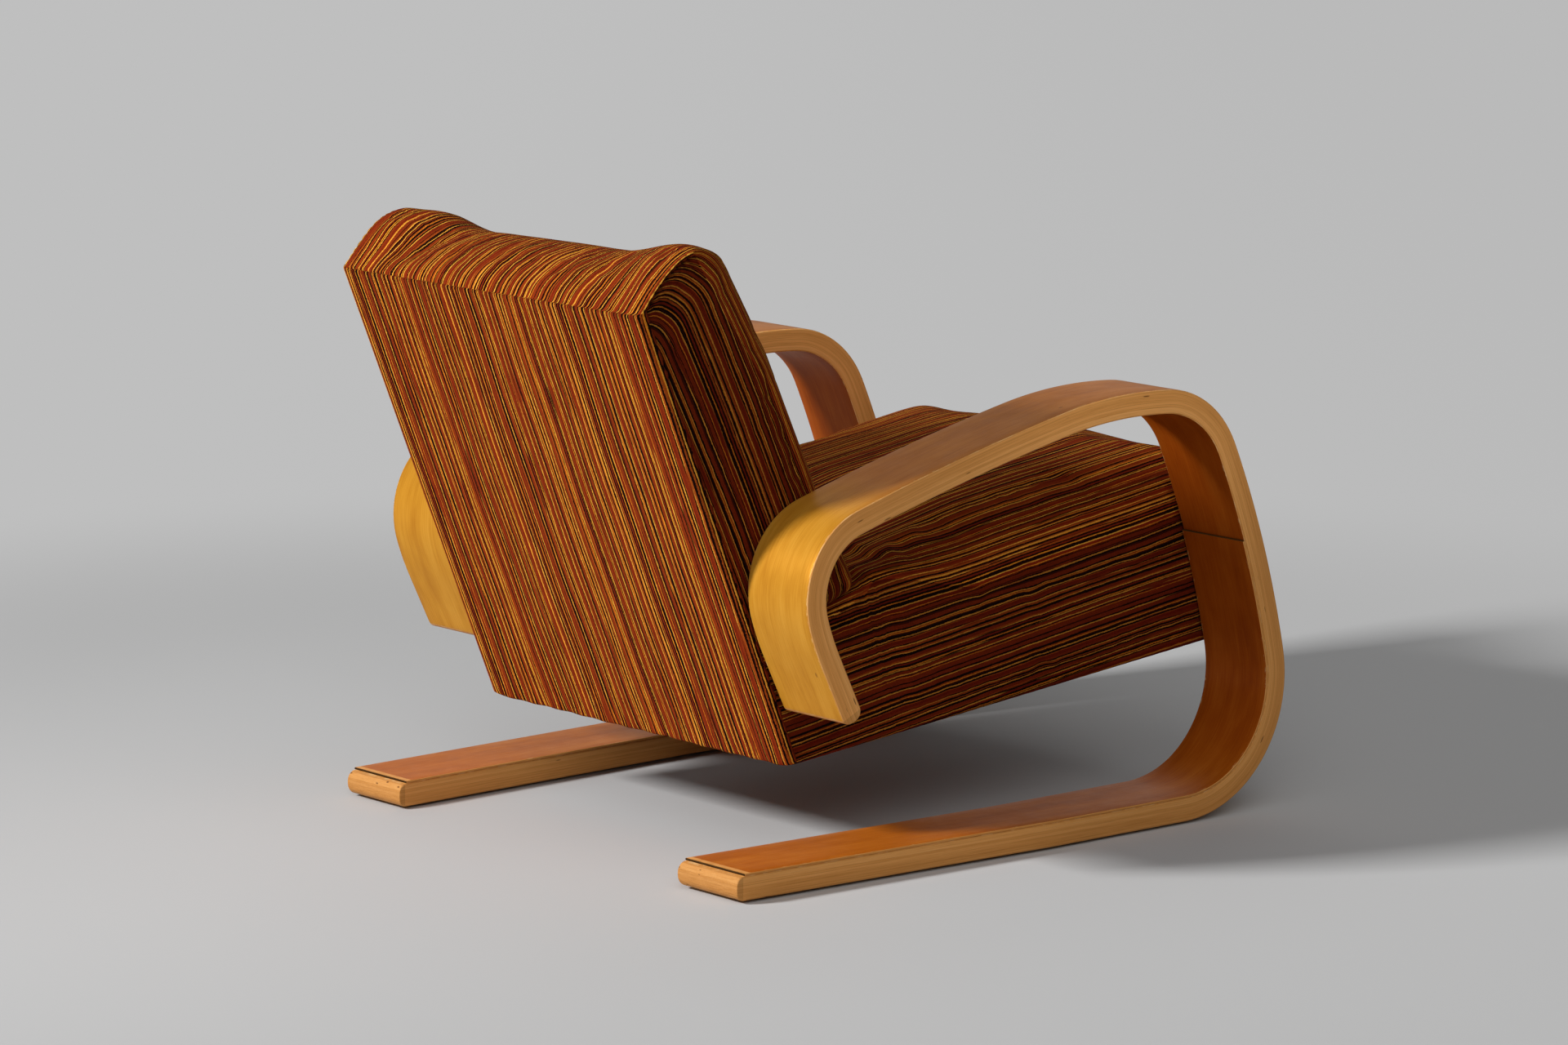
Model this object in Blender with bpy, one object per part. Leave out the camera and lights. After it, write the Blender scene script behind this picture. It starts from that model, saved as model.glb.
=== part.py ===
"""Lounge armchair: two bent laminated arm loops that carry an upholstered seat and back.

Front is -Y, up is +Z and the sitter's right is -X. Places along the chair are worked out as a
distance forward of the foot end and a height, and the whole chair is centred at the end.
"""
import math

import bpy
import bmesh
from mathutils import Vector

# Whole chair
CHAIR_WIDTH = 0.735
FIT_GAP = 0.0003
CUT_OVERRUN = 0.004

# Bent band: lengths along its middle from the foot end, and the turn over each length
BAND_WIDTH = 0.0993
BAND_THICKNESS = 0.027
BAND_ARRIS = 0.002
BAND_END_ROUND = 0.010
RUNNER_LENGTH = 0.630
RUNNER_TOE_IN = 0.0186
TOE_IN_REACH = 0.430
HEEL_LENGTH = 0.043
HEEL_TURN = math.radians(16.1)
FRONT_BEND_LENGTH = 0.200
FRONT_BEND_TURN = math.radians(85.5)
LEG_LENGTH = 0.251
LEG_TURN = math.radians(12.9)
TOP_BEND_LENGTH = 0.115
TOP_BEND_TURN = math.radians(61.5)
ARM_FRONT_LENGTH = 0.156
ARM_FRONT_TURN = math.radians(16.0)
ARM_LENGTH = 0.300
ARM_TURN = math.radians(4.8)
REAR_BEND_LENGTH = 0.131
REAR_BEND_TURN = math.radians(90.1)
DROP_BEND_LENGTH = 0.044
DROP_BEND_TURN = math.radians(8.7)
DROP_LENGTH = 0.075
BEND_STEP = math.radians(7.5)
RUN_STEP = 0.090

# Doubling ply glued inside the runner, the front bend and the lower leg
PLY_THICKNESS = 0.0025
PLY_EDGE_MARGIN = 0.0005
PLY_FOOT_MARGIN = 0.009
PLY_LEG_REACH = 0.143
PLY_ARRIS = 0.0006

# Glides under the runners
GLIDE_RADIUS = 0.011
GLIDE_THICKNESS = 0.0027
GLIDE_REAR_REACH = 0.055
GLIDE_FRONT_REACH = 0.590

# Upholstered body, between the loops
BODY_SIDE_GAP = 0.0047
COVER_WALL = 0.003
DROP_END_ALONG = 0.0108
DROP_END_RISE = 0.0660
SEAT_SLOPE = math.radians(5.85)
BACK_RECLINE = math.radians(21.5)

# Seat form
SEAT_NOSE_REACH = 0.0309
SEAT_TOP_RISE = 0.187
SEAT_TOP_CLIMB = math.radians(3.3)
SEAT_TOP_EDGE = 0.054
SEAT_FRONT_EDGE = 0.040
SEAT_REAR_EDGE = 0.010
SEAT_CROWN = 0.021
SEAT_CROWN_RUN = 0.200
SEAT_CROWN_POWER = 16
SEAT_NOSE_DROP = 0.008
SEAT_NOSE_POWER = 4
SEAT_SIDE_DRAW = 0.003
SEAT_BRACKET_ROOM = 0.005
SEAT_STEP_RUN = 0.005

# Back form
BACK_BOTTOM = 0.135
BACK_TOP = 0.546
BACK_TOP_CLIMB = math.radians(20.2)
BACK_SHOULDER_START = 0.060
BACK_SHOULDER_RUN = 0.046
BACK_PILLOW_CLIMB = math.radians(46.0)
BACK_PILLOW_REACH = 0.050
BACK_THICKNESS = 0.168
BACK_TOP_THICKNESS = 0.1415
BACK_FULLNESS = 0.004
BACK_FRONT_EDGE = 0.030
BACK_TOP_FRONT_EDGE = 0.056
BACK_EDGE_GROWTH_START = 0.120
BACK_EDGE_GROWTH_RUN = 0.060
BACK_LOWER_EDGE = 0.018
BACK_CROWN = 0.016
BACK_CROWN_START = 0.075
BACK_SIDE_DRAW = 0.003
BACK_SADDLE_FLAT = 0.115
BACK_SADDLE_RUN = 0.115
BACK_SEAT_GAP = 0.0006
PANEL_CORNER = 0.015
PANEL_BULGE = 0.003

# Seat frame
RAIL_SIDE_CLEARANCE = 0.013
RAIL_LIFT = 0.010
RAIL_HEIGHT = 0.088
SIDE_RAIL_THICKNESS = 0.022
CROSS_RAIL_THICKNESS = 0.028
SIDE_RAIL_END_CLEARANCE = 0.010
FRONT_RAIL_BOLT_GAP = 0.0038
REAR_RAIL_REACH = 0.030
RAIL_ARRIS = 0.0015
CORNER_BLOCK_LEG = 0.052
CORNER_BLOCK_HEIGHT = 0.060
CORNER_BLOCK_DROP = 0.012

# Seat springs, their deck and the pad
SPRING_COUNT = 4
SPRING_WIRE = 0.0034
SPRING_SWING = 0.021
SPRING_WAVES = 9
SPRING_SPACING = 0.096
SPRING_END_REACH = 0.006
DECK_THICKNESS = 0.0012
DECK_MARGIN = 0.012
PAD_CLEARANCE = 0.0018
PAD_STEP_CLEARANCE = 0.006
DUST_THICKNESS = 0.0009
DUST_LIFT = 0.0025

# Back frame
STILE_WIDTH = 0.040
STILE_SETBACK = 0.006
STILE_THICKNESS = 0.038
STILE_END_CLEARANCE = 0.010
BACK_RAIL_HEIGHT = 0.034
LUMBAR_RAIL_RISE = 0.165
STRAP_COUNT = 4
STRAP_WIDTH = 0.050
STRAP_THICKNESS = 0.0016
BRACKET_WIDTH = 0.034
BRACKET_THICKNESS = 0.003
BRACKET_LENGTH = 0.170
BRACKET_RISE = 0.045

# Bolts that hold the body to the loops, and the spacers round them
BOLT_RADIUS = 0.004
BOLT_HEAD_RADIUS = 0.0065
BOLT_HEAD_HEIGHT = 0.005
BOLT_CHAMFER = 0.0008
BOLT_GRIP = 0.024
SPACER_RADIUS = 0.009
LEG_BOLT_RISE = 0.040
LEG_BOLT_SPACING = 0.038
DROP_BOLT_REACH = 0.020
STILE_BOLT_REACH = 0.135

ROUND_SIDES = 16
BOLT_SIDES = 12
WIRE_SIDES = 4
CORNER_STEPS = 2
EDGE_STEPS = 4
CORNER_POWER = 5.0

# Sizes that follow
BAND_INNER = CHAIR_WIDTH / 2 - BAND_WIDTH
BODY_HALF = BAND_INNER - BODY_SIDE_GAP
RAIL_OUTER = BODY_HALF - RAIL_SIDE_CLEARANCE
SPACER_LENGTH = BAND_INNER - RAIL_OUTER - 2 * FIT_GAP
BAND_FLOOR = GLIDE_THICKNESS + FIT_GAP
LEAN = BACK_RECLINE - SEAT_SLOPE
RAIL_TOP = RAIL_LIFT + RAIL_HEIGHT
BENDS = (
    (RUNNER_LENGTH, 0),
    (HEEL_LENGTH, HEEL_TURN),
    (FRONT_BEND_LENGTH, FRONT_BEND_TURN),
    (LEG_LENGTH, LEG_TURN),
    (TOP_BEND_LENGTH, TOP_BEND_TURN),
    (ARM_FRONT_LENGTH, ARM_FRONT_TURN),
    (ARM_LENGTH, ARM_TURN),
    (REAR_BEND_LENGTH, REAR_BEND_TURN),
    (DROP_BEND_LENGTH, DROP_BEND_TURN),
    (DROP_LENGTH, 0),
)
BAND_LENGTH = sum(length for length, turn in BENDS)
LEG_START = RUNNER_LENGTH + HEEL_LENGTH + FRONT_BEND_LENGTH


# Materials
def finish(name, colour, roughness, metallic=0.0, coat=0.0):
    material = bpy.data.materials.new(name)
    material.use_nodes = True
    shader = material.node_tree.nodes["Principled BSDF"]
    shader.inputs["Base Color"].default_value = (*colour, 1.0)
    shader.inputs["Roughness"].default_value = roughness
    shader.inputs["Metallic"].default_value = metallic
    shader.inputs["Coat Weight"].default_value = coat
    material.diffuse_color = (*colour, 1.0)
    return material


def clear_scene():
    for item in list(bpy.data.objects):
        bpy.data.objects.remove(item, do_unlink=True)


clear_scene()
LACQUERED_BIRCH = ("lacquered_birch", (0.62, 0.34, 0.11), 0.28, 0.0, 0.6)
RAW_BEECH = ("raw_beech", (0.63, 0.47, 0.30), 0.7)
STRIPED_CLOTH = ("striped_cloth", (0.33, 0.10, 0.03), 0.9)
FOAM = ("pale_foam", (0.80, 0.74, 0.58), 0.95)
SPRING_STEEL = ("spring_steel", (0.35, 0.35, 0.36), 0.35, 1.0)
ZINC = ("zinc_plate", (0.62, 0.62, 0.60), 0.35, 1.0)
JUTE = ("jute", (0.52, 0.40, 0.24), 0.95)
DUST_CLOTH = ("dust_cloth", (0.04, 0.04, 0.045), 0.95)
FELT = ("dark_felt", (0.05, 0.045, 0.04), 0.95)


# Frames that the pieces are placed in
def frame_empty(name, parent=None, place=(0, 0, 0), tilt=0.0):
    empty = bpy.data.objects.new(name, None)
    bpy.context.collection.objects.link(empty)
    empty.parent = parent
    empty.location = place
    empty.rotation_euler = (tilt, 0, 0)
    return empty


root = frame_empty("chair_frame")


def add(name, mesh_data, look, parent=root, place=(0, 0, 0), smooth=None):
    """One closed solid from (points, faces), with a material of its own."""
    points, faces = mesh_data
    form = bmesh.new()
    corners = [form.verts.new(point) for point in points]
    for face in faces:
        form.faces.new([corners[index] for index in face])
    bmesh.ops.recalc_face_normals(form, faces=form.faces)
    mesh = bpy.data.meshes.new(name)
    form.to_mesh(mesh)
    form.free()
    if smooth is not None:
        mesh.shade_smooth()
        mesh.set_sharp_from_angle(angle=smooth)
    piece = bpy.data.objects.new(name, mesh)
    bpy.context.collection.objects.link(piece)
    piece.parent = parent
    piece.location = place
    mesh.materials.append(finish(name + "_" + look[0], *look[1:]))
    return piece


def round_edges(piece, width, segments=1):
    bevel = piece.modifiers.new("soft_edges", "BEVEL")
    bevel.width = width
    bevel.segments = segments
    bevel.limit_method = "ANGLE"
    return piece


def as_cutter(piece):
    piece.hide_render = True
    piece.display_type = "WIRE"
    return piece


def cut(piece, cutter):
    hole = piece.modifiers.new("bore", "BOOLEAN")
    hole.object = cutter
    hole.operation = "DIFFERENCE"
    hole.solver = "EXACT"


# Basic forms
def block_mesh(low, high):
    points = [(x, y, z) for x in (low[0], high[0]) for y in (low[1], high[1]) for z in (low[2], high[2])]
    faces = [(0, 1, 3, 2), (4, 6, 7, 5), (0, 4, 5, 1), (2, 3, 7, 6), (0, 2, 6, 4), (1, 5, 7, 3)]
    return points, faces


def prism_mesh(outline, low, high, axis=0):
    """An outline of pairs, drawn out along one axis."""
    points = []
    for along in (low, high):
        for first, second in outline:
            point = [first, second]
            point.insert(axis, along)
            points.append(tuple(point))
    count = len(outline)
    faces = [tuple(range(count)), tuple(range(count, 2 * count))]
    for index in range(count):
        following = (index + 1) % count
        faces.append((index, following, count + following, count + index))
    return points, faces


def rings_mesh(rings, closed=False):
    """Rings of equal count joined in a row; the ends are capped unless the row closes."""
    count = len(rings[0])
    points = [point for ring in rings for point in ring]
    faces = []
    last = len(rings) if closed else len(rings) - 1
    for row in range(last):
        here = row * count
        there = ((row + 1) % len(rings)) * count
        for index in range(count):
            following = (index + 1) % count
            faces.append((here + index, here + following, there + following, there + index))
    if not closed:
        faces.append(tuple(range(count)))
        faces.append(tuple(range((len(rings) - 1) * count, len(rings) * count)))
    return points, faces


def turned_mesh(profile, sides, closed=False):
    """A profile of (radius, place) pairs turned about X."""
    rings = []
    for step in range(sides):
        angle = 2 * math.pi * step / sides
        sine, cosine = math.sin(angle), math.cos(angle)
        rings.append([(place, radius * cosine, radius * sine) for radius, place in profile])
    rows = [[ring[index] for ring in rings] for index in range(len(profile))]
    return rings_mesh(rows, closed)


# Bent band
def along_band(distance):
    """Forward distance, height and heading of the band's middle line."""
    forward = 0.0
    height = BAND_FLOOR + BAND_THICKNESS / 2
    heading = 0.0
    left = distance
    for length, turn in BENDS:
        run = min(left, length)
        if turn:
            angle = turn * run / length
            radius = length / turn
            forward += radius * (math.sin(heading + angle) - math.sin(heading))
            height += radius * (math.cos(heading) - math.cos(heading + angle))
            heading += angle
        else:
            forward += run * math.cos(heading)
            height += run * math.sin(heading)
        left -= run
        if left <= 0:
            break
    return forward, height, heading


# Where the body hangs: its place comes from the loop's rear end, its depth from the front leg
DROP_END_FORWARD, DROP_END_HEIGHT, DROP_END_HEADING = along_band(BAND_LENGTH)
SLOPE_SINE, SLOPE_COSINE = math.sin(SEAT_SLOPE), math.cos(SEAT_SLOPE)
REAR_BOTTOM_REACH = DROP_END_FORWARD - DROP_END_ALONG * SLOPE_COSINE + DROP_END_RISE * SLOPE_SINE
REAR_BOTTOM_HEIGHT = DROP_END_HEIGHT - DROP_END_ALONG * SLOPE_SINE - DROP_END_RISE * SLOPE_COSINE
REAR_BOTTOM = (0, -REAR_BOTTOM_REACH, REAR_BOTTOM_HEIGHT)
seat_frame = frame_empty("seat_frame", root, REAR_BOTTOM, -SEAT_SLOPE)
back_frame = frame_empty("back_frame", root, REAR_BOTTOM, -BACK_RECLINE)


def from_rear_bottom(distance):
    """The band's middle line at this distance, as (along, rise) in the seat's frame."""
    forward, height, heading = along_band(distance)
    forward -= REAR_BOTTOM_REACH
    height -= REAR_BOTTOM_HEIGHT
    return forward * SLOPE_COSINE + height * SLOPE_SINE, height * SLOPE_COSINE - forward * SLOPE_SINE


def leg_place(rise):
    """The distance along the band at which the front leg has this rise over the seat's underside."""
    low, high = LEG_START, LEG_START + LEG_LENGTH
    for halving in range(40):
        middle = (low + high) / 2
        if from_rear_bottom(middle)[1] < rise:
            low = middle
        else:
            high = middle
    return low


LEG_BOLT_LOW = leg_place(LEG_BOLT_RISE)
LEG_BOLT_HIGH = LEG_BOLT_LOW + LEG_BOLT_SPACING
LEG_BOLT_FRONT, LEG_BOLT_REAR = [from_rear_bottom(place)[0] for place in (LEG_BOLT_LOW, LEG_BOLT_HIGH)]
SEAT_DEPTH = LEG_BOLT_FRONT + SEAT_NOSE_REACH


def band_stations():
    """Places along the band: closer in its bends and at its rounded ends."""
    angles = [math.pi / 2 * step / EDGE_STEPS for step in range(EDGE_STEPS + 1)]
    places = [BAND_END_ROUND * (1 - math.cos(angle)) for angle in angles]
    start = 0.0
    for length, turn in BENDS:
        steps = max(math.ceil(turn / BEND_STEP), math.ceil(length / RUN_STEP))
        places += [start + length * step / steps for step in range(1, steps + 1)]
        start += length
    ends = [BAND_LENGTH - place for place in places[:EDGE_STEPS + 1]]
    middle = [place for place in places[EDGE_STEPS + 1:] if BAND_END_ROUND < place < min(ends)]
    return places[:EDGE_STEPS + 1] + middle + ends[::-1]


def band_section(width, thickness, arris):
    """Rounded rectangle as (across, through) pairs."""
    section = []
    for across, through, start in ((1, 1, 0), (-1, 1, 1), (-1, -1, 2), (1, -1, 3)):
        for step in range(CORNER_STEPS + 1):
            angle = math.pi / 2 * (start + step / CORNER_STEPS)
            section.append((
                across * (width / 2 - arris) + arris * math.cos(angle),
                through * (thickness / 2 - arris) + arris * math.sin(angle),
            ))
    return section


def toe_in(forward, distance):
    """How far the runner is drawn in towards the foot end."""
    if distance > RUNNER_LENGTH:
        return 0.0
    return RUNNER_TOE_IN * max(0.0, 1 - forward / TOE_IN_REACH)


def band_ring(distance, side, width, thickness, arris, inward=0.0):
    forward, height, heading = along_band(distance)
    middle = side * (CHAIR_WIDTH / 2 - BAND_WIDTH / 2 - toe_in(forward, distance))
    ring = []
    for across, through in band_section(width, thickness, arris):
        offset = through + inward
        ring.append((
            middle + across,
            -(forward - offset * math.sin(heading)),
            height + offset * math.cos(heading),
        ))
    return ring


def loop_mesh(side):
    rings = []
    for distance in band_stations():
        reach = min(distance, BAND_LENGTH - distance, BAND_END_ROUND)
        inset = BAND_END_ROUND - math.sqrt(max(0.0, BAND_END_ROUND ** 2 - (BAND_END_ROUND - reach) ** 2))
        rings.append(band_ring(distance, side, BAND_WIDTH, BAND_THICKNESS - 2 * inset, BAND_ARRIS))
    return rings_mesh(rings)


def ply_mesh(side):
    """The thin ply on the inside of the band, which starts and ends at stations of the band."""
    end = LEG_START + PLY_LEG_REACH
    places = [place for place in band_stations() if PLY_FOOT_MARGIN < place < end]
    width = BAND_WIDTH - 2 * PLY_EDGE_MARGIN
    inward = BAND_THICKNESS / 2 + FIT_GAP + PLY_THICKNESS / 2
    rings = [band_ring(place, side, width, PLY_THICKNESS, PLY_ARRIS, inward) for place in places]
    return rings_mesh(rings)


# Cushion forms: a grid over the top, walls round it and an open or closed underside
def spread(low, high, count):
    return [low + (high - low) * step / count for step in range(count + 1)]


def edge_angles():
    return [math.pi / 2 * step / EDGE_STEPS for step in range(EDGE_STEPS)]


class Cushion:
    """A cushion over a rectangle: across is X, along runs from low to high, and rise is its depth.

    place turns (across, along, rise) into a point. edges gives the rounding at the sides, the low end
    and the high end. columns and rows are the places of the grid's lines between the roundings.
    """

    def __init__(self, half, low, high, edges, top, place, draw, columns, rows):
        self.half, self.low, self.high = half, low, high
        self.side_edge, self.low_edge, self.high_edge = edges
        self.top, self.place, self.draw = top, place, draw
        self.columns, self.rows = columns, rows

    def across_lines(self, edge, inset):
        """Pairs of core place and share of rounding across the cushion."""
        core = self.half - edge
        outer = [(-core, -math.cos(angle)) for angle in edge_angles()]
        inner = [(core * share, 0.0) for share in self.columns]
        return outer + inner + [(-place, -share) for place, share in outer[::-1]]

    def along_lines(self):
        lower = [(self.low + self.low_edge, -math.cos(angle)) for angle in edge_angles()]
        inner = [(place, 0.0) for place in self.rows]
        upper = [(self.high - self.high_edge, math.cos(angle)) for angle in edge_angles()[::-1]]
        return lower + inner + upper

    def layer(self, inset):
        """The top grid of the form shrunk by inset, as rows of (across, along, rise)."""
        grid = []
        for along_core, along_share in self.along_lines():
            end_edge = (self.low_edge if along_share < 0 else self.high_edge) - inset
            side_edge = self.side_edge(along_core) - inset
            row = []
            for across_core, across_share in self.across_lines(self.side_edge(along_core), inset):
                sideways, lengthways = abs(across_share), abs(along_share)
                largest = max(sideways, lengthways)
                total = sideways + lengthways
                norm = (sideways ** CORNER_POWER + lengthways ** CORNER_POWER) ** (1 / CORNER_POWER)
                scale = largest / norm if norm else 1.0
                edge = (side_edge * sideways + end_edge * lengthways) / total if total else side_edge
                across = across_core + side_edge * across_share * scale
                along = along_core + end_edge * along_share * scale
                fall = edge * (1 - math.sqrt(max(0.0, 1 - largest ** 2)))
                row.append((across, along, self.top(across, along) - inset - fall))
            grid.append(row)
        return grid

    def border(self, grid):
        """Grid indices once round the edge of the grid."""
        last_row = len(grid) - 1
        last_column = len(grid[0]) - 1
        path = [(0, column) for column in range(last_column)]
        path += [(row, last_column) for row in range(last_row)]
        path += [(last_row, column) for column in range(last_column, 0, -1)]
        path += [(row, 0) for row in range(last_row, 0, -1)]
        return path

    def skin(self, inset, floor, levels):
        """Points and faces of one skin, and the ring of its rim."""
        grid = self.layer(inset)
        columns = len(grid[0])
        points = [self.place(*point) for row in grid for point in row]
        faces = []
        for row in range(len(grid) - 1):
            for column in range(columns - 1):
                corner = row * columns + column
                faces.append((corner, corner + 1, corner + columns + 1, corner + columns))
        border = self.border(grid)
        ring = [row * columns + column for row, column in border]
        for level in levels:
            fresh = []
            for row, column in border:
                across, along, rise = grid[row][column]
                height = floor + (rise - floor) * level
                fresh.append(len(points))
                points.append(self.drawn(across, along, height, height / rise))
            for index in range(len(ring)):
                following = (index + 1) % len(ring)
                faces.append((ring[index], ring[following], fresh[following], fresh[index]))
            ring = fresh
        return points, faces, ring

    def drawn(self, across, along, height, share):
        """Sides drawn in between rim and edge."""
        pull = self.draw * 4 * share * (1 - share) * across / self.half
        return self.place(across - pull, along, height)

    def solid(self, inset, floor, levels):
        points, faces, ring = self.skin(inset, floor, levels)
        return points, faces + [tuple(ring)]

    def shell(self, wall, floor, levels):
        points, faces, ring = self.skin(0.0, floor, levels)
        inner_points, inner_faces, inner_ring = self.skin(wall, floor, levels)
        count = len(points)
        faces += [tuple(index + count for index in face) for face in inner_faces]
        for index in range(len(ring)):
            following = (index + 1) % len(ring)
            inner = (inner_ring[following] + count, inner_ring[index] + count)
            faces.append((ring[index], ring[following], *inner))
        return points + inner_points, faces


def smooth_share(value):
    value = min(1.0, max(0.0, value))
    return value * value * (3 - 2 * value)


# Seat form, in the seat's own frame: along runs forward, rise is square to the underside
def seat_rear(rise):
    return SEAT_BRACKET_ROOM / math.cos(LEAN) - rise * math.tan(LEAN)


def seat_front(rise):
    return SEAT_DEPTH + rise * math.tan(SEAT_SLOPE)


def seat_place(across, along, rise):
    share = along / SEAT_DEPTH
    return across, -(seat_rear(rise) * (1 - share) + seat_front(rise) * share), rise


def back_underside(along):
    """Rise of the seat under the back, whose underside stands square to the rear panel.

    The line along + slant * rise of the seat's form meets the back's underside there.
    """
    share = along / SEAT_DEPTH
    start = seat_rear(0.0) * (1 - share) + seat_front(0.0) * share
    slant = math.tan(SEAT_SLOPE) * share - math.tan(LEAN) * (1 - share)
    meeting = (BACK_BOTTOM - BACK_SEAT_GAP) / math.cos(LEAN) + start * math.tan(LEAN)
    return meeting / (1 - slant * math.tan(LEAN))


BACK_FRONT_REACH = (BACK_THICKNESS + BACK_SEAT_GAP) * math.cos(LEAN) - BACK_BOTTOM * math.sin(LEAN)
STEP_RISE = BACK_BOTTOM * math.cos(LEAN) + BACK_THICKNESS * math.sin(LEAN)
STEP_REAR = seat_rear(STEP_RISE)
STEP_SHARE = (BACK_FRONT_REACH + PAD_CLEARANCE - STEP_REAR) / (seat_front(STEP_RISE) - STEP_REAR)
SEAT_STEP = SEAT_DEPTH * STEP_SHARE
SEAT_STEP_END = SEAT_STEP + SEAT_STEP_RUN


def seat_top(across, along):
    span = (along - SEAT_STEP) / (SEAT_DEPTH - SEAT_STEP)
    forward = min(1.0, max(0.0, span))
    swell = smooth_share((along - SEAT_STEP) / SEAT_CROWN_RUN) * math.sqrt(1 - forward ** SEAT_CROWN_POWER)
    crown = SEAT_CROWN * (1 - (across / BODY_HALF) ** 2) * swell
    nose = SEAT_NOSE_DROP * forward ** SEAT_NOSE_POWER
    full = SEAT_TOP_RISE + (along - SEAT_STEP) * math.tan(SEAT_TOP_CLIMB) + crown - nose
    return back_underside(along) if along < SEAT_STEP + SEAT_STEP_RUN / 2 else full


def seat_side_edge(along):
    share = smooth_share((along - SEAT_STEP) / SEAT_STEP)
    return SEAT_REAR_EDGE + (SEAT_TOP_EDGE - SEAT_REAR_EDGE) * share


SEAT_COLUMN_SHARES = [share / 3 for share in range(-3, 4)]
seat_rows = spread(SEAT_REAR_EDGE, SEAT_STEP, 3) + spread(SEAT_STEP_END, SEAT_DEPTH - SEAT_FRONT_EDGE, 8)
seat_form = Cushion(
    BODY_HALF, 0.0, SEAT_DEPTH, (seat_side_edge, SEAT_REAR_EDGE, SEAT_FRONT_EDGE),
    seat_top, seat_place, SEAT_SIDE_DRAW, SEAT_COLUMN_SHARES, seat_rows,
)
WALL_LEVEL_SHARES = (0.7, 0.35, 0.0)
BACK_LEVEL_SHARES = (0.75, 0.5, 0.25, 0.1, 0.0)
PAD_LEVEL_SHARES = (0.5, 0.0)


# Back form, in the back's own frame: along runs up the rear panel, rise is square to it
def back_place(across, along, rise):
    """The top climbs to a shoulder at its sides; its middle swells up sooner and ends lower."""
    share = (along - BACK_BOTTOM) / (BACK_TOP - BACK_BOTTOM)
    past = min(BACK_SHOULDER_RUN, max(0.0, rise - BACK_SHOULDER_START))
    climb = min(rise, BACK_SHOULDER_START) + past - past ** 2 / (2 * BACK_SHOULDER_RUN)
    side_lift = climb * math.tan(BACK_TOP_CLIMB)
    middle_lift = rise * math.tan(BACK_PILLOW_CLIMB) * math.exp(-rise / BACK_PILLOW_REACH)
    middle = 1 - smooth_share((abs(across) - BACK_SADDLE_FLAT) / BACK_SADDLE_RUN)
    lift = side_lift + (middle_lift - side_lift) * middle
    return across, -rise, along + share * lift if share > 0 else along


def back_top(across, along):
    share = (along - BACK_BOTTOM) / (BACK_TOP - BACK_BOTTOM)
    depth = BACK_THICKNESS + (BACK_TOP_THICKNESS - BACK_THICKNESS) * share
    depth += BACK_FULLNESS * math.sin(math.pi * min(1.0, max(0.0, share)))
    start = BACK_CROWN_START / (BACK_TOP - BACK_BOTTOM)
    crown_share = min(1.0, max(0.0, (share - start) / (1 - start)))
    crown = BACK_CROWN * (1 - (across / BODY_HALF) ** 2) * math.sin(math.pi * crown_share)
    return depth + crown


def back_side_edge(along):
    growth = smooth_share((along - BACK_TOP + BACK_EDGE_GROWTH_START) / BACK_EDGE_GROWTH_RUN)
    return BACK_FRONT_EDGE + (BACK_TOP_FRONT_EDGE - BACK_FRONT_EDGE) * growth


back_rows = spread(BACK_BOTTOM + BACK_LOWER_EDGE, BACK_TOP - BACK_TOP_FRONT_EDGE, 8)
back_form = Cushion(
    BODY_HALF, BACK_BOTTOM, BACK_TOP, (back_side_edge, BACK_LOWER_EDGE, BACK_TOP_FRONT_EDGE),
    back_top, back_place, BACK_SIDE_DRAW, SEAT_COLUMN_SHARES, back_rows,
)


PANEL_CORNER_SHARES = (0.0, 0.4, 0.7, 1.0)


def panel_mesh(near, far):
    """The rear panel, a thin sheet bulged in its middle, with its upper corners rounded."""
    side_lines = [BODY_HALF - PANEL_CORNER * (1 - share) for share in PANEL_CORNER_SHARES]
    inner_half = BODY_HALF - PANEL_CORNER
    inner_lines = spread(-inner_half, inner_half, 6)[1:-1]
    across_lines = [-place for place in side_lines[::-1]] + inner_lines + side_lines
    along_lines = spread(0.0, BACK_TOP - PANEL_CORNER, 8)[:-1]
    along_lines += [BACK_TOP - PANEL_CORNER * (1 - share) for share in PANEL_CORNER_SHARES]
    points = []
    for depth in (near, far):
        for along in along_lines:
            for across in across_lines:
                sideways = max(0.0, abs(across) - inner_half)
                upward = max(0.0, along - (BACK_TOP - PANEL_CORNER))
                reach = math.hypot(sideways, upward)
                pull = 1 - max(sideways, upward) / reach if reach else 0.0
                swell = PANEL_BULGE * math.sin(math.pi * along / BACK_TOP)
                swell *= math.cos(math.pi / 2 * across / BODY_HALF)
                place = across - math.copysign(sideways * pull, across)
                points.append((place, swell - depth, along - upward * pull))
    wide = len(across_lines)
    columns, rows = wide - 1, len(along_lines) - 1
    count = wide * (rows + 1)
    faces = []
    for layer in (0, count):
        for row in range(rows):
            for column in range(columns):
                corner = layer + row * wide + column
                faces.append((corner, corner + 1, corner + wide + 1, corner + wide))
    border = [column for column in range(columns)]
    border += [row * wide + columns for row in range(rows)]
    border += [rows * wide + column for column in range(columns, 0, -1)]
    border += [row * wide for row in range(rows, 0, -1)]
    for index in range(len(border)):
        following = (index + 1) % len(border)
        faces.append((border[index], border[following], border[following] + count, border[index] + count))
    return points, faces


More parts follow.
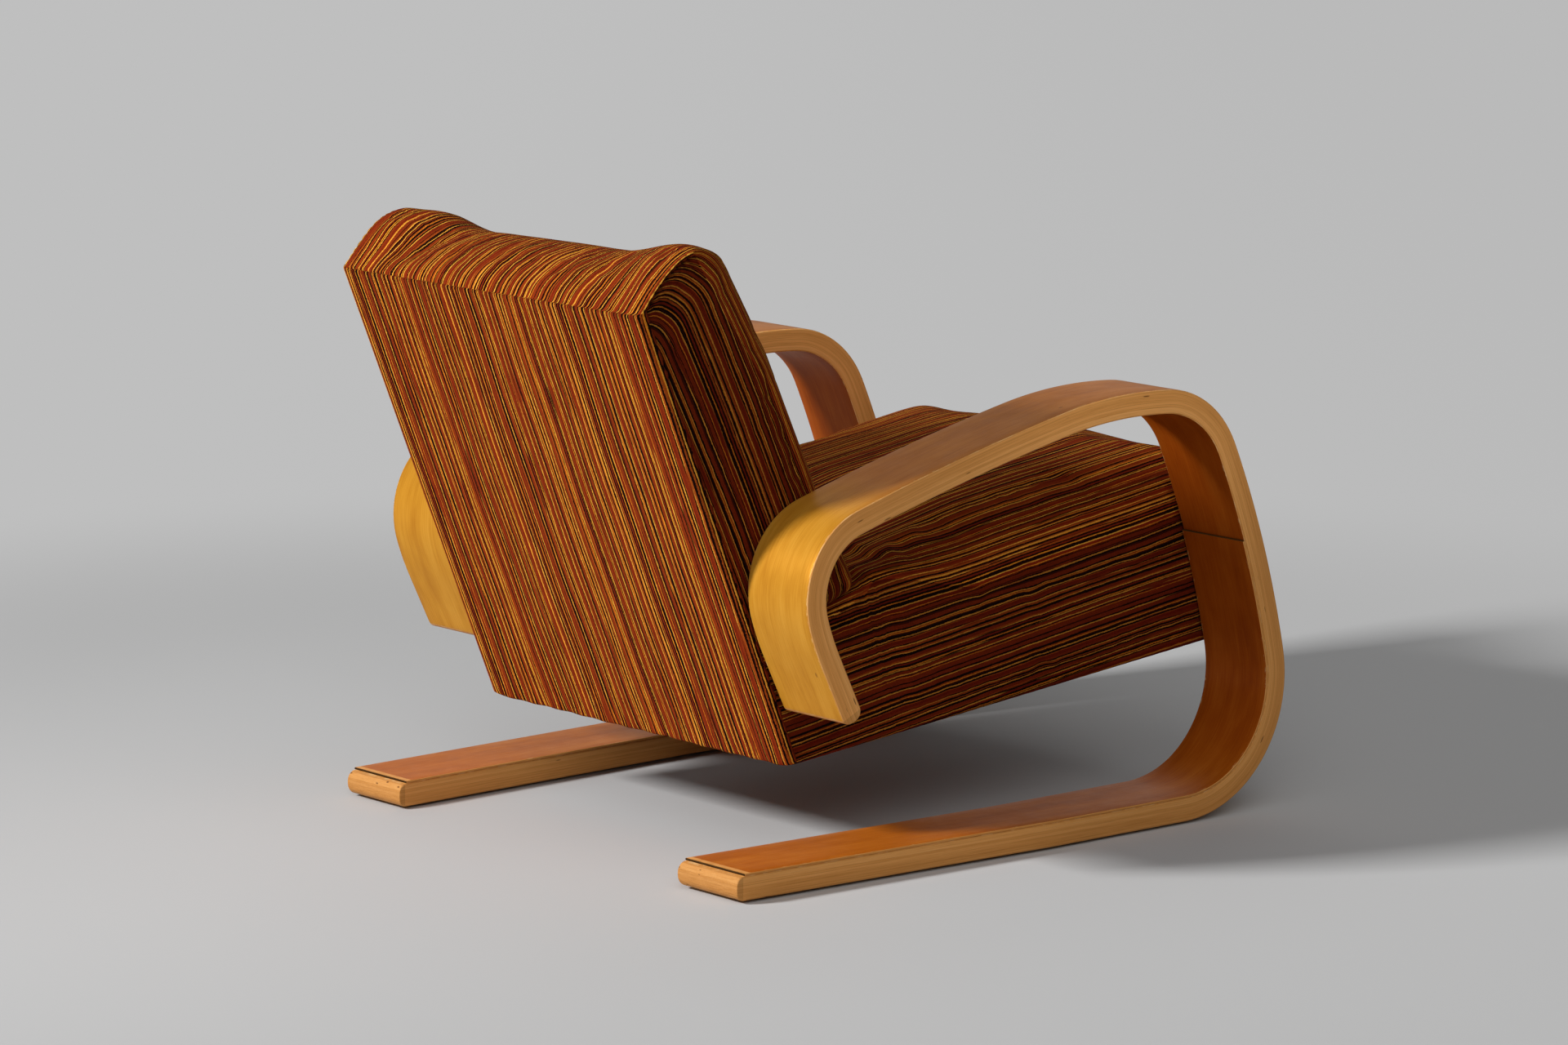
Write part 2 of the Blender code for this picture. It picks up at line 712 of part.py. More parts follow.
# Arm loops, plies and glides
SIDES = (("right", -1), ("left", 1))
SMOOTH_ANGLE = math.radians(35)
loops = {}
for word, side in SIDES:
    loops[word] = add("arm_loop_" + word, loop_mesh(side), LACQUERED_BIRCH, smooth=SMOOTH_ANGLE)
    add("arm_ply_" + word, ply_mesh(side), LACQUERED_BIRCH, smooth=SMOOTH_ANGLE)
    for end, reach in (("rear", GLIDE_REAR_REACH), ("front", GLIDE_FRONT_REACH)):
        middle = side * (CHAIR_WIDTH / 2 - BAND_WIDTH / 2 - toe_in(reach, reach))
        disc = turned_mesh([(GLIDE_RADIUS, 0), (GLIDE_RADIUS, GLIDE_THICKNESS)], ROUND_SIDES)
        glide = add("glide_" + end + "_" + word, disc, FELT, place=(middle, -reach, 0), smooth=SMOOTH_ANGLE)
        glide.rotation_euler = (0, -math.pi / 2, 0)

# Covers
seat_cover = add(
    "seat_cover", seat_form.shell(COVER_WALL, 0.0, WALL_LEVEL_SHARES), STRIPED_CLOTH, seat_frame,
    smooth=SMOOTH_ANGLE,
)
back_cover = add(
    "back_cover", back_form.shell(COVER_WALL, 0.0, BACK_LEVEL_SHARES), STRIPED_CLOTH, back_frame,
    smooth=SMOOTH_ANGLE,
)


add(
    "back_rear_panel", panel_mesh(-FIT_GAP, -FIT_GAP - COVER_WALL), STRIPED_CLOTH, back_frame,
    smooth=SMOOTH_ANGLE,
)

# Seat frame
CROSS_HALF = RAIL_OUTER - SIDE_RAIL_THICKNESS - FIT_GAP
REAR_CLEARANCE = COVER_WALL + SIDE_RAIL_END_CLEARANCE


def rail_rear(rise):
    return seat_rear(rise) + REAR_CLEARANCE


RAIL_FRONT = seat_front(0.0) - COVER_WALL - SIDE_RAIL_END_CLEARANCE
side_outline = [
    (-rail_rear(RAIL_LIFT), RAIL_LIFT),
    (-RAIL_FRONT, RAIL_LIFT),
    (-RAIL_FRONT, RAIL_TOP),
    (-rail_rear(RAIL_TOP), RAIL_TOP),
]
FRONT_RAIL_FRONT = LEG_BOLT_REAR - BOLT_HEAD_RADIUS - FRONT_RAIL_BOLT_GAP
FRONT_RAIL_FACE = FRONT_RAIL_FRONT - CROSS_RAIL_THICKNESS
side_rails = {}
for word, side in SIDES:
    low, high = sorted((side * RAIL_OUTER, side * (RAIL_OUTER - SIDE_RAIL_THICKNESS)))
    rail = add("seat_side_rail_" + word, prism_mesh(side_outline, low, high), RAW_BEECH, seat_frame)
    side_rails[word] = round_edges(rail, RAIL_ARRIS)


def cross_rail(name, rear_face):
    low = (-CROSS_HALF, -(rear_face + CROSS_RAIL_THICKNESS), RAIL_LIFT)
    high = (CROSS_HALF, -rear_face, RAIL_TOP)
    return round_edges(add(name, block_mesh(low, high), RAW_BEECH, seat_frame), RAIL_ARRIS)


cross_rail("seat_rear_rail", REAR_RAIL_REACH)
cross_rail("seat_front_rail", FRONT_RAIL_FACE)
BLOCK_LOW = RAIL_TOP - CORNER_BLOCK_DROP - CORNER_BLOCK_HEIGHT
for end, corner, toward in (
    ("rear", REAR_RAIL_REACH + CROSS_RAIL_THICKNESS + FIT_GAP, 1),
    ("front", FRONT_RAIL_FACE - FIT_GAP, -1),
):
    for word, side in SIDES:
        triangle = [
            (side * CROSS_HALF, -corner),
            (side * (CROSS_HALF - CORNER_BLOCK_LEG), -corner),
            (side * CROSS_HALF, -(corner + toward * CORNER_BLOCK_LEG)),
        ]
        add(
            "corner_block_" + end + "_" + word,
            prism_mesh(triangle, BLOCK_LOW, BLOCK_LOW + CORNER_BLOCK_HEIGHT, axis=2), RAW_BEECH, seat_frame,
        )

# Sinuous springs, laid from the rear rail to the front rail
SPRING_LOW = REAR_RAIL_REACH + SPRING_END_REACH
SPRING_HIGH = FRONT_RAIL_FACE + CROSS_RAIL_THICKNESS - SPRING_END_REACH
SPRING_RISE = RAIL_TOP + FIT_GAP + SPRING_WIRE / 2


def spring_mesh(middle):
    """A wire that swings from side to side in even waves."""
    steps = SPRING_WAVES * 8
    rings = []
    for step in range(steps + 1):
        share = step / steps
        wave = 2 * math.pi * SPRING_WAVES * share
        along = SPRING_LOW + (SPRING_HIGH - SPRING_LOW) * share
        slope = SPRING_SWING * math.cos(wave) * 2 * math.pi * SPRING_WAVES / (SPRING_HIGH - SPRING_LOW)
        across = Vector((1, slope, 0)).normalized()
        centre = Vector((middle + SPRING_SWING * math.sin(wave), -along, SPRING_RISE))
        ring = []
        for corner in range(WIRE_SIDES):
            angle = 2 * math.pi * (corner / WIRE_SIDES) + math.pi / WIRE_SIDES
            offset = across * math.cos(angle) + Vector((0, 0, 1)) * math.sin(angle)
            ring.append(tuple(centre + offset * (SPRING_WIRE / 2)))
        rings.append(ring)
    return rings_mesh(rings)


for index in range(SPRING_COUNT):
    middle = (index - (SPRING_COUNT - 1) / 2) * SPRING_SPACING
    add("seat_spring_" + str(index + 1), spring_mesh(middle), SPRING_STEEL, seat_frame, smooth=SMOOTH_ANGLE)

# Deck cloth over the springs, and the pad on it
DECK_LOW = SPRING_RISE + SPRING_WIRE / 2 + FIT_GAP
DECK_TOP = DECK_LOW + DECK_THICKNESS
deck_low = (-(CROSS_HALF - FIT_GAP), -(RAIL_FRONT - DECK_MARGIN), DECK_LOW)
deck_high = (CROSS_HALF - FIT_GAP, -(REAR_RAIL_REACH + SPRING_END_REACH), DECK_TOP)
add("seat_deck_cloth", block_mesh(deck_low, deck_high), JUTE, seat_frame)
PAD_INSET = COVER_WALL + PAD_CLEARANCE
PAD_FLOOR = DECK_TOP + FIT_GAP
PAD_REAR = SEAT_STEP_END + PAD_INSET + PAD_STEP_CLEARANCE


pad_rows = [PAD_REAR + SEAT_REAR_EDGE] + [row for row in seat_rows if row > PAD_REAR + 2 * SEAT_REAR_EDGE]
seat_pad_form = Cushion(
    BODY_HALF, PAD_REAR - PAD_INSET, SEAT_DEPTH, (seat_side_edge, SEAT_REAR_EDGE, SEAT_FRONT_EDGE),
    seat_top, seat_place, SEAT_SIDE_DRAW, SEAT_COLUMN_SHARES, pad_rows,
)
seat_pad_solid = seat_pad_form.solid(PAD_INSET, PAD_FLOOR, PAD_LEVEL_SHARES)
add("seat_pad", seat_pad_solid, FOAM, seat_frame, smooth=SMOOTH_ANGLE)

# Dust cloth under the seat, set just inside the cover's rim
dust_grid = seat_form.layer(COVER_WALL + FIT_GAP)
dust_outline = []
for row, column in seat_form.border(dust_grid):
    across, along, rise = dust_grid[row][column]
    dust_outline.append(seat_form.drawn(across, along, DUST_LIFT, DUST_LIFT / rise)[:2])
add(
    "seat_dust_cloth", prism_mesh(dust_outline, DUST_LIFT, DUST_LIFT + DUST_THICKNESS, axis=2),
    DUST_CLOTH, seat_frame,
)

# Back frame
BACK_LOW = BACK_BOTTOM + COVER_WALL + STILE_END_CLEARANCE
BACK_HIGH = BACK_TOP - COVER_WALL - STILE_END_CLEARANCE
STILE_FRONT = STILE_SETBACK + STILE_THICKNESS
back_rail_half = RAIL_OUTER - STILE_WIDTH - FIT_GAP
stiles = {}
for word, side in SIDES:
    low, high = sorted((side * RAIL_OUTER, side * (RAIL_OUTER - STILE_WIDTH)))
    stile = add(
        "back_stile_" + word, block_mesh((low, -STILE_FRONT, BACK_LOW), (high, -STILE_SETBACK, BACK_HIGH)),
        RAW_BEECH, back_frame,
    )
    stiles[word] = round_edges(stile, RAIL_ARRIS)
for name, low in (
    ("back_bottom_rail", BACK_LOW),
    ("back_lumbar_rail", BACK_LOW + LUMBAR_RAIL_RISE),
    ("back_top_rail", BACK_HIGH - BACK_RAIL_HEIGHT),
):
    rail = add(
        name,
        block_mesh(
            (-back_rail_half, -STILE_FRONT, low), (back_rail_half, -STILE_SETBACK, low + BACK_RAIL_HEIGHT),
        ),
        RAW_BEECH, back_frame,
    )
    round_edges(rail, RAIL_ARRIS)

# Straps across the back frame, and the back pad
STRAP_NEAR = STILE_FRONT + FIT_GAP
STRAP_FAR = STRAP_NEAR + STRAP_THICKNESS
strap_half = RAIL_OUTER - STILE_WIDTH / 3
strap_pitch = (BACK_HIGH - BACK_LOW - STRAP_WIDTH) / (STRAP_COUNT - 1)
for index in range(STRAP_COUNT):
    low = BACK_LOW + strap_pitch * index
    add(
        "back_strap_" + str(index + 1),
        block_mesh((-strap_half, -STRAP_FAR, low), (strap_half, -STRAP_NEAR, low + STRAP_WIDTH)),
        JUTE, back_frame,
    )
back_pad_solid = back_form.solid(PAD_INSET, STRAP_FAR + FIT_GAP, PAD_LEVEL_SHARES)
add("back_pad", back_pad_solid, FOAM, back_frame, smooth=SMOOTH_ANGLE)

# Plates that tie the back frame to the seat frame, behind both
for word, side in SIDES:
    middle = side * (RAIL_OUTER - STILE_WIDTH / 2)
    low = (middle - BRACKET_WIDTH / 2, -BRACKET_THICKNESS - FIT_GAP, BRACKET_RISE)
    high = (middle + BRACKET_WIDTH / 2, -FIT_GAP, BRACKET_RISE + BRACKET_LENGTH)
    add("back_bracket_" + word, block_mesh(low, high), ZINC, back_frame)
    low = (low[0] - FIT_GAP, low[1] - FIT_GAP, low[2])
    high = (high[0] + FIT_GAP, CUT_OVERRUN, high[2] + FIT_GAP)
    cut(back_cover, as_cutter(add("bracket_slot_" + word, block_mesh(low, high), ZINC, back_frame)))


# Bolts and spacers
def bolt_mesh(grip):
    """Head at the low end, along X."""
    far = BOLT_HEAD_HEIGHT + grip + SPACER_LENGTH + 2 * FIT_GAP + BOLT_GRIP
    profile = [
        (BOLT_HEAD_RADIUS - BOLT_CHAMFER, 0),
        (BOLT_HEAD_RADIUS, BOLT_CHAMFER),
        (BOLT_HEAD_RADIUS, BOLT_HEAD_HEIGHT - FIT_GAP),
        (BOLT_RADIUS, BOLT_HEAD_HEIGHT - FIT_GAP),
        (BOLT_RADIUS, far - BOLT_CHAMFER),
        (BOLT_RADIUS - BOLT_CHAMFER, far),
    ]
    return turned_mesh(profile, BOLT_SIDES)


def ring_mesh(inner, outer, length):
    return turned_mesh([(inner, 0), (outer, 0), (outer, length), (inner, length)], ROUND_SIDES, closed=True)


FIXINGS = (
    ("leg_low", LEG_BOLT_LOW, SIDE_RAIL_THICKNESS),
    ("leg_high", LEG_BOLT_HIGH, SIDE_RAIL_THICKNESS),
    ("drop_low", BAND_LENGTH - DROP_BOLT_REACH, SIDE_RAIL_THICKNESS),
    ("drop_high", BAND_LENGTH - STILE_BOLT_REACH, STILE_WIDTH),
)
BORE_GAP = FIT_GAP / math.cos(math.pi / BOLT_SIDES)


def cylinder_along_x(name, radius, low, high, forward, height, sides):
    cylinder = turned_mesh([(radius, low), (radius, high)], sides)
    return as_cutter(add(name, cylinder, ZINC, place=(0, -forward, height)))


for word, side in SIDES:
    for label, distance, grip in FIXINGS:
        forward, height, heading = along_band(distance)
        inner_face = RAIL_OUTER - grip
        bolt = add("bolt_" + label + "_" + word, bolt_mesh(grip), ZINC, smooth=SMOOTH_ANGLE)
        bolt.location = (side * (inner_face - BOLT_HEAD_HEIGHT), -forward, height)
        bolt.rotation_euler = (0, 0, 0 if side > 0 else math.pi)
        spacer = add(
            "spacer_" + label + "_" + word, ring_mesh(BOLT_RADIUS + FIT_GAP, SPACER_RADIUS, SPACER_LENGTH),
            ZINC, smooth=SMOOTH_ANGLE,
        )
        spacer.location = (side * (RAIL_OUTER + FIT_GAP), -forward, height)
        spacer.rotation_euler = bolt.rotation_euler
        low, high = sorted((side * (inner_face - CUT_OVERRUN), side * (BAND_INNER + BOLT_GRIP + FIT_GAP)))
        bore = cylinder_along_x(
            "bore_" + label + "_" + word, BOLT_RADIUS + BORE_GAP, low, high, forward, height, BOLT_SIDES,
        )
        low, high = sorted((side * (RAIL_OUTER + FIT_GAP), side * (BAND_INNER - FIT_GAP)))
        sleeve = cylinder_along_x(
            "sleeve_" + label + "_" + word, SPACER_RADIUS + BORE_GAP, low, high, forward, height,
            ROUND_SIDES,
        )
        cut(loops[word], bore)
        if label == "drop_high":
            cut(stiles[word], bore)
            cut(back_cover, sleeve)
        else:
            cut(side_rails[word], bore)
            cut(seat_cover, sleeve)

# The chair is centred front to rear
bpy.context.view_layer.update()
reaches = [
    (piece.matrix_world @ corner.co).y
    for piece in bpy.data.objects if piece.type == "MESH" and not piece.hide_render
    for corner in piece.data.vertices
]
root.location.y = -(min(reaches) + max(reaches)) / 2
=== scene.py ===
"""A lounge armchair: a striped upholstered body between two bent laminated arm loops."""
import random
from math import copysign, cos, exp, pi, radians, sin, sqrt, tan

import bmesh
import bpy
import numpy as np
from mathutils import Matrix, Vector


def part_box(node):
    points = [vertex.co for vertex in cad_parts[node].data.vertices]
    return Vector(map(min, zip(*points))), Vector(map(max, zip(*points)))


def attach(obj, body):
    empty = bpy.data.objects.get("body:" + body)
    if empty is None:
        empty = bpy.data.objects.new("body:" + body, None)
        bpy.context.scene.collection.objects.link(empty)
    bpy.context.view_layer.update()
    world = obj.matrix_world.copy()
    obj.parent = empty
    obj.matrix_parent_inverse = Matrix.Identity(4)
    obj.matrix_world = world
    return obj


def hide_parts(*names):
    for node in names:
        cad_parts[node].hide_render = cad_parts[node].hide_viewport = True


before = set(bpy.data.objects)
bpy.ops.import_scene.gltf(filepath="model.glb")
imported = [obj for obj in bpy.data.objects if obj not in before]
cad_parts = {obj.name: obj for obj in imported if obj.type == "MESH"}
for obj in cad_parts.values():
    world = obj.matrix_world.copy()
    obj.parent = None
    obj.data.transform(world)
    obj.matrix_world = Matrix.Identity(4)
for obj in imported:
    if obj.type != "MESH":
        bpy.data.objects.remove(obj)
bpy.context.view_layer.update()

scene = bpy.context.scene

# Sizes shared with the CAD part, in metres
CHAIR_WIDTH = 0.735
BAND_WIDTH = 0.0993
BAND_THICKNESS = 0.027
BAND_FLOOR = 0.003
BAND_ARRIS = 0.0022
BAND_END_ROUND = 0.010
RUNNER_LENGTH = 0.630
RUNNER_TOE_IN = 0.0186
TOE_IN_REACH = 0.430
BENDS = [  # length and turn in degrees, from the foot end to the drop end
    (RUNNER_LENGTH, 0), (0.043, 16.1), (0.200, 85.5), (0.251, 12.9), (0.115, 61.5),
    (0.156, 16.0), (0.300, 4.8), (0.131, 90.1), (0.044, 8.7), (0.075, 0),
]
BAND_LENGTH = sum(length for length, turn in BENDS)
LEG_START = 0.873
PLY_REACH = LEG_START + 0.143
PLY_WIDTH = BAND_WIDTH - 0.0010
PLY_THICKNESS = 0.0025
PLY_ARRIS = 0.0006
PLY_END_ROUND = 0.0012
PLY_FOOT = 0.0095
BODY_HALF = 0.2635
SEAT_SLOPE = radians(5.85)
BACK_RECLINE = radians(21.5)
LEAN = BACK_RECLINE - SEAT_SLOPE
GLIDE_REACH = 0.590
GLIDE_LOW, GLIDE_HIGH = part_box("glide_front_right")
Y_SHIFT = (GLIDE_LOW.y + GLIDE_HIGH.y) / 2 + GLIDE_REACH
CHAIR_MIDDLE = Vector((0.0, Y_SHIFT - 0.335, 0.0))
REAR_BOTTOM = Vector((0, Y_SHIFT - 0.14202, 0.11405))
SEAT_FRAME = Matrix.Translation(REAR_BOTTOM) @ Matrix.Rotation(-SEAT_SLOPE, 4, "X")
BACK_FRAME = Matrix.Translation(REAR_BOTTOM) @ Matrix.Rotation(-BACK_RECLINE, 4, "X")


# ---------------------------------------------------------------- node materials
class Value:
    """A number or colour in a node tree, with the usual arithmetic."""

    def __init__(self, build, socket):
        self.build, self.socket = build, socket

    def __add__(self, other):
        return self.build.math("ADD", self, other)

    def __sub__(self, other):
        return self.build.math("SUBTRACT", self, other)

    def __rsub__(self, other):
        return self.build.math("SUBTRACT", other, self)

    def __mul__(self, other):
        return self.build.math("MULTIPLY", self, other)

    def __truediv__(self, other):
        return self.build.math("DIVIDE", self, other)


class Nodes:
    """A new material, and a builder for its nodes.

    Inputs are given by name, with _ for a space, or by number as i0, i1 and so on.
    """

    def __init__(self, name, **inputs):
        self.material = bpy.data.materials.new(name)
        self.material.use_nodes = True
        self.tree = self.material.node_tree
        self.shader = self.tree.nodes["Principled BSDF"]
        self.give(self.shader, **inputs)

    def give(self, node, **inputs):
        for name, value in inputs.items():
            socket = node.inputs[int(name[1:]) if name[1:].isdigit() else name.replace("_", " ")]
            if isinstance(value, Value):
                self.tree.links.new(value.socket, socket)
            else:
                socket.default_value = value

    def add(self, kind, props=None, **inputs):
        node = self.tree.nodes.new(kind)
        for name, value in (props or {}).items():
            setattr(node, name, value)
        self.give(node, **inputs)
        return node

    def value(self, kind, props=None, output=0, **inputs):
        return Value(self, self.add(kind, props, **inputs).outputs[output])

    def math(self, operation, *terms):
        inputs = {"i" + str(number): term for number, term in enumerate(terms)}
        return self.value("ShaderNodeMath", {"operation": operation}, **inputs)

    def mix(self, factor, first, second, blend="MIX"):
        return self.value(
            "ShaderNodeMix", {"data_type": "RGBA", "blend_type": blend}, 2, i0=factor, i6=first, i7=second)

    def scaled(self, colour, factor):
        grey = self.value("ShaderNodeCombineXYZ", X=factor, Y=factor, Z=factor)
        return self.mix(1.0, colour, grey, "MULTIPLY")

    def ramp(self, place, stops, mode="LINEAR"):
        node = self.add("ShaderNodeValToRGB", i0=place)
        ramp = node.color_ramp
        ramp.interpolation = mode
        while len(ramp.elements) > 1:
            ramp.elements.remove(ramp.elements[0])
        ramp.elements[0].position, ramp.elements[0].color = stops[0]
        for position, colour in stops[1:]:
            ramp.elements.new(position).color = colour
        return Value(self, node.outputs[0])

    def step(self, value, low, high):
        """0 below low, 1 above high, and a smooth rise between."""
        return self.value("ShaderNodeMapRange", {"interpolation_type": "SMOOTHSTEP"}, i0=value, i1=low, i2=high)

    def stretched(self, place, scale):
        return self.value("ShaderNodeMapping", Vector=place, Scale=scale)

    def noise(self, place, scale, detail=2.0, rough=0.5):
        place = self.stretched(place, scale)
        return self.value("ShaderNodeTexNoise", Vector=place, Scale=1.0, Detail=detail, Roughness=rough)

    def random(self, number):
        return self.value("ShaderNodeTexWhiteNoise", {"noise_dimensions": "1D"}, W=number)

    def attribute(self, name, output="Vector"):
        return self.value("ShaderNodeAttribute", {"attribute_name": name}, output)

    def object_place(self):
        return self.value("ShaderNodeTexCoord", output="Object")

    def split(self, vector):
        return [Value(self, socket) for socket in self.add("ShaderNodeSeparateXYZ", Vector=vector).outputs]

    def dress(self, colour, roughness, height, distance, strength):
        """Colour, roughness and relief of the whole surface."""
        normal = self.value("ShaderNodeBump", Strength=strength, Distance=distance, Height=height)
        self.give(self.shader, Base_Color=colour, Roughness=roughness, Normal=normal)
        return self.material


def srgb(*channels):
    shares = [channel / 255 for channel in channels]
    return (*[share / 12.92 if share <= 0.04045 else ((share + 0.055) / 1.055) ** 2.4 for share in shares], 1)


# ---------------------------------------------------------------- cloth material
DARK = srgb(30, 8, 3)
BROWN = srgb(84, 28, 8)
RUST = srgb(152, 55, 17)
RED_RUST = srgb(140, 42, 14)
ORANGE = srgb(182, 84, 24)
GOLD = srgb(242, 146, 36)
PALE_GOLD = srgb(252, 176, 62)
FULL_TONE = (1.0, 1.0, 1.0, 1)
# painted shade: a fixed darker tint for the cloth's side panels
SIDE_SHADE_TINT = (0.52, 0.44, 0.48, 1)
NO_LINE, DARK_LINE, GOLD_LINE = (0.0, 0.0, 0.0, 1), (0.5, 0.5, 0.5, 1), (1.0, 1.0, 1.0, 1)
YARN_PITCH = 0.0014
BEAD_PITCH = 0.00125
# numbers of the cloth's panels
TOP, LOW_END, LEFT_SIDE, HIGH_END, RIGHT_SIDE, OUTER_BACK = 0.0, 1.0, 2.0, 3.0, 4.0, 6.0


def stripes(build, across, seed, count, choices):
    """Random stripes over one repeat. A choice is a colour, its weight and its least and most width in mm."""
    draw = random.Random(seed)
    colours = [colour for colour, weight, widths in choices for copy in range(weight)]
    spans = {colour: widths for colour, weight, widths in choices}
    edges, repeat, last = [], 0.0, None
    for number in range(count):
        colour = draw.choice(colours)
        while colour is last:
            colour = draw.choice(colours)
        last = colour
        edges.append((repeat, colour))
        repeat += draw.uniform(*spans[colour])
    stops = [(edge / repeat, colour) for edge, colour in edges]
    return build.ramp(build.math("FRACT", across / (repeat / 1000)), stops, "CONSTANT")


def cloth_material(name, seed):
    """Chenille stripes. The cloth attribute holds the place across and along them, and the panel."""
    build = Nodes(name, Specular_IOR_Level=0.06)
    place = build.attribute("cloth")
    across, along, panel = build.split(place)
    # slow drift of the stripes, and ragged yarn edges
    for scale, reach in (((16, 3, 1), 0.0024), ((90, 24, 1), 0.0009),
                         ((900, 330, 1), 0.0013), ((420, 34, 1), 0.0014)):
        across = across + (build.noise(place, scale, 2.0, 0.6) - 0.5) * reach
    colour = stripes(build, across, seed, 31, [
        (RUST, 6, (2.2, 5.2)), (RED_RUST, 3, (1.6, 3.6)), (BROWN, 4, (1.0, 2.2)), (DARK, 5, (1.2, 2.6)),
        (ORANGE, 3, (1.2, 2.4)), (GOLD, 5, (1.0, 2.0)),
    ])
    lines = stripes(build, across, seed + 7, 30, [
        (NO_LINE, 9, (3.0, 8.0)), (GOLD_LINE, 5, (1.0, 1.7)), (DARK_LINE, 5, (0.9, 1.7)),
    ])
    is_gold = build.math("GREATER_THAN", lines, 0.75)
    is_dark = build.math("GREATER_THAN", lines, 0.25) - is_gold
    # the thin lines come and go along the cloth
    fade = build.step(build.noise(place, (160, 7, 1)), 0.34, 0.46)
    colour = build.mix(is_dark * fade, colour, DARK)
    colour = build.mix(is_gold * fade, colour, PALE_GOLD)
    # beads of pile along each yarn, and fibres of uneven colour
    yarn = across / YARN_PITCH
    wander = build.random(build.math("FLOOR", yarn)) + build.noise(place, (300, 120, 1))
    bead = build.math("SINE", (along / BEAD_PITCH + wander * 4.0) * (2 * pi)) * 0.5 + 0.5
    rib = build.math("ABSOLUTE", build.math("SINE", yarn * pi))
    fibre = build.noise(place, (1500, 520, 1), 3.0, 0.75)
    mottle = build.noise(place, (240, 44, 1), 3.0, 0.6)
    shade = (fibre + 0.24) * (mottle * 0.7 + 0.70) * (bead * 0.18 + 0.90) * (rib * 0.30 + 0.84)
    # painted shade: the side panels are darkened by a fixed tint, and the seams' creases by their painted crease
    # shade
    shaded_side = build.math("COMPARE", panel, LEFT_SIDE, 0.5) + build.math("COMPARE", panel, RIGHT_SIDE, 0.5)
    colour = build.mix(1.0, colour, build.mix(shaded_side, FULL_TONE, SIDE_SHADE_TINT), "MULTIPLY")
    shade = shade * (1.0 - build.attribute("crease_shade", "Fac") * 0.85)
    return build.dress(build.scaled(colour, shade), 1.0, fibre * 0.8 + rib * 0.45 + bead * 0.35, 0.0006, 0.8)


CLOTH = cloth_material("striped_cloth", 11)


# ---------------------------------------------------------------- wood materials
SIDE_SHIFT = 3.0  # added to the place along the left loop, and taken from that along the right one
VENEER = 0.0030


def flecks(build, place, cell, size, share):
    """Small dark marks, 1 inside them, in about the given share of the cells."""
    marks = build.add("ShaderNodeTexVoronoi", Vector=build.stretched(place, cell), Scale=1.0)
    distance, colour = Value(build, marks.outputs["Distance"]), Value(build, marks.outputs["Color"])
    return (1.0 - build.step(distance, size / 2, size)) * build.math("LESS_THAN", build.split(colour)[0], share)


def lacquered(name, **inputs):
    """Lacquered birch. The band attribute holds the place along, across and through the band."""
    build = Nodes(
        name, Coat_Weight=0.02, Specular_IOR_Level=0.12, Specular_Tint=(1.0, 0.72, 0.36, 1.0), IOR=1.38, **inputs)
    place = build.attribute("band")
    along, across, through = build.split(place)
    along = along - build.math("SIGN", along) * SIDE_SHIFT
    return build, place, along, across, through


def birch_edge(name, tone=1.0):
    """Cut edges of the veneers, with the glue lines between them."""
    build, place, along, across, through = lacquered(name, Coat_Roughness=0.25)
    layer = through / VENEER + (build.noise(place, (9, 9, 60)) - 0.5) * 0.35
    streak = build.noise(place, (22, 500, 2400), 3.0, 0.65)
    long_streak = build.noise(place, (5, 60, 700), 2.0, 0.6)
    depth = build.random(build.math("FLOOR", layer)) * 0.22 + streak * 0.60 + long_streak * 0.50
    colour = build.ramp(depth, [
        (0.30, srgb(174, 112, 54)), (0.50, srgb(200, 136, 70)), (0.72, srgb(217, 153, 85)),
        (1.0, srgb(228, 172, 106)),
    ])
    seam = build.step(build.math("ABSOLUTE", build.math("FRACT", layer) - 0.5), 0.43, 0.49)
    broken = build.step(build.noise(place, (30, 30, 300)), 0.38, 0.62)
    colour = build.mix(seam * broken * 0.40, colour, srgb(128, 76, 40))
    fleck = flecks(build, place, (26, 60, 160), 0.16, 0.16)
    colour = build.mix(fleck * 0.75, colour, srgb(92, 50, 24))
    # the lacquer is worn along both rims
    half = BAND_THICKNESS / 2
    rim = build.step(build.math("ABSOLUTE", through), half - 0.0011, half - 0.0004)
    rim = rim * build.math("LESS_THAN", through, half + 0.0002)
    worn = build.step(build.noise(place, (60, 60, 200), 3.0, 0.7), 0.46, 0.62)
    colour = build.mix(rim * worn * 0.55, colour, srgb(228, 190, 134))
    # painted light: the edge is brightened along the arm, and most at its front bend, where more light falls; tone
    # scales the whole edge
    bend = build.step(along, 0.95, 1.15) * (1.0 - build.step(along, 1.35, 1.60))
    painted_light_and_tone = (bend * 0.28 + build.step(along, 1.05, 1.30) * 0.12 + 1.0) * tone
    relief = streak * 0.6 - seam * 0.5 - fleck * 1.5
    return build.dress(build.scaled(colour, painted_light_and_tone), streak * 0.25 + 0.42, relief, 0.0003, 0.7)


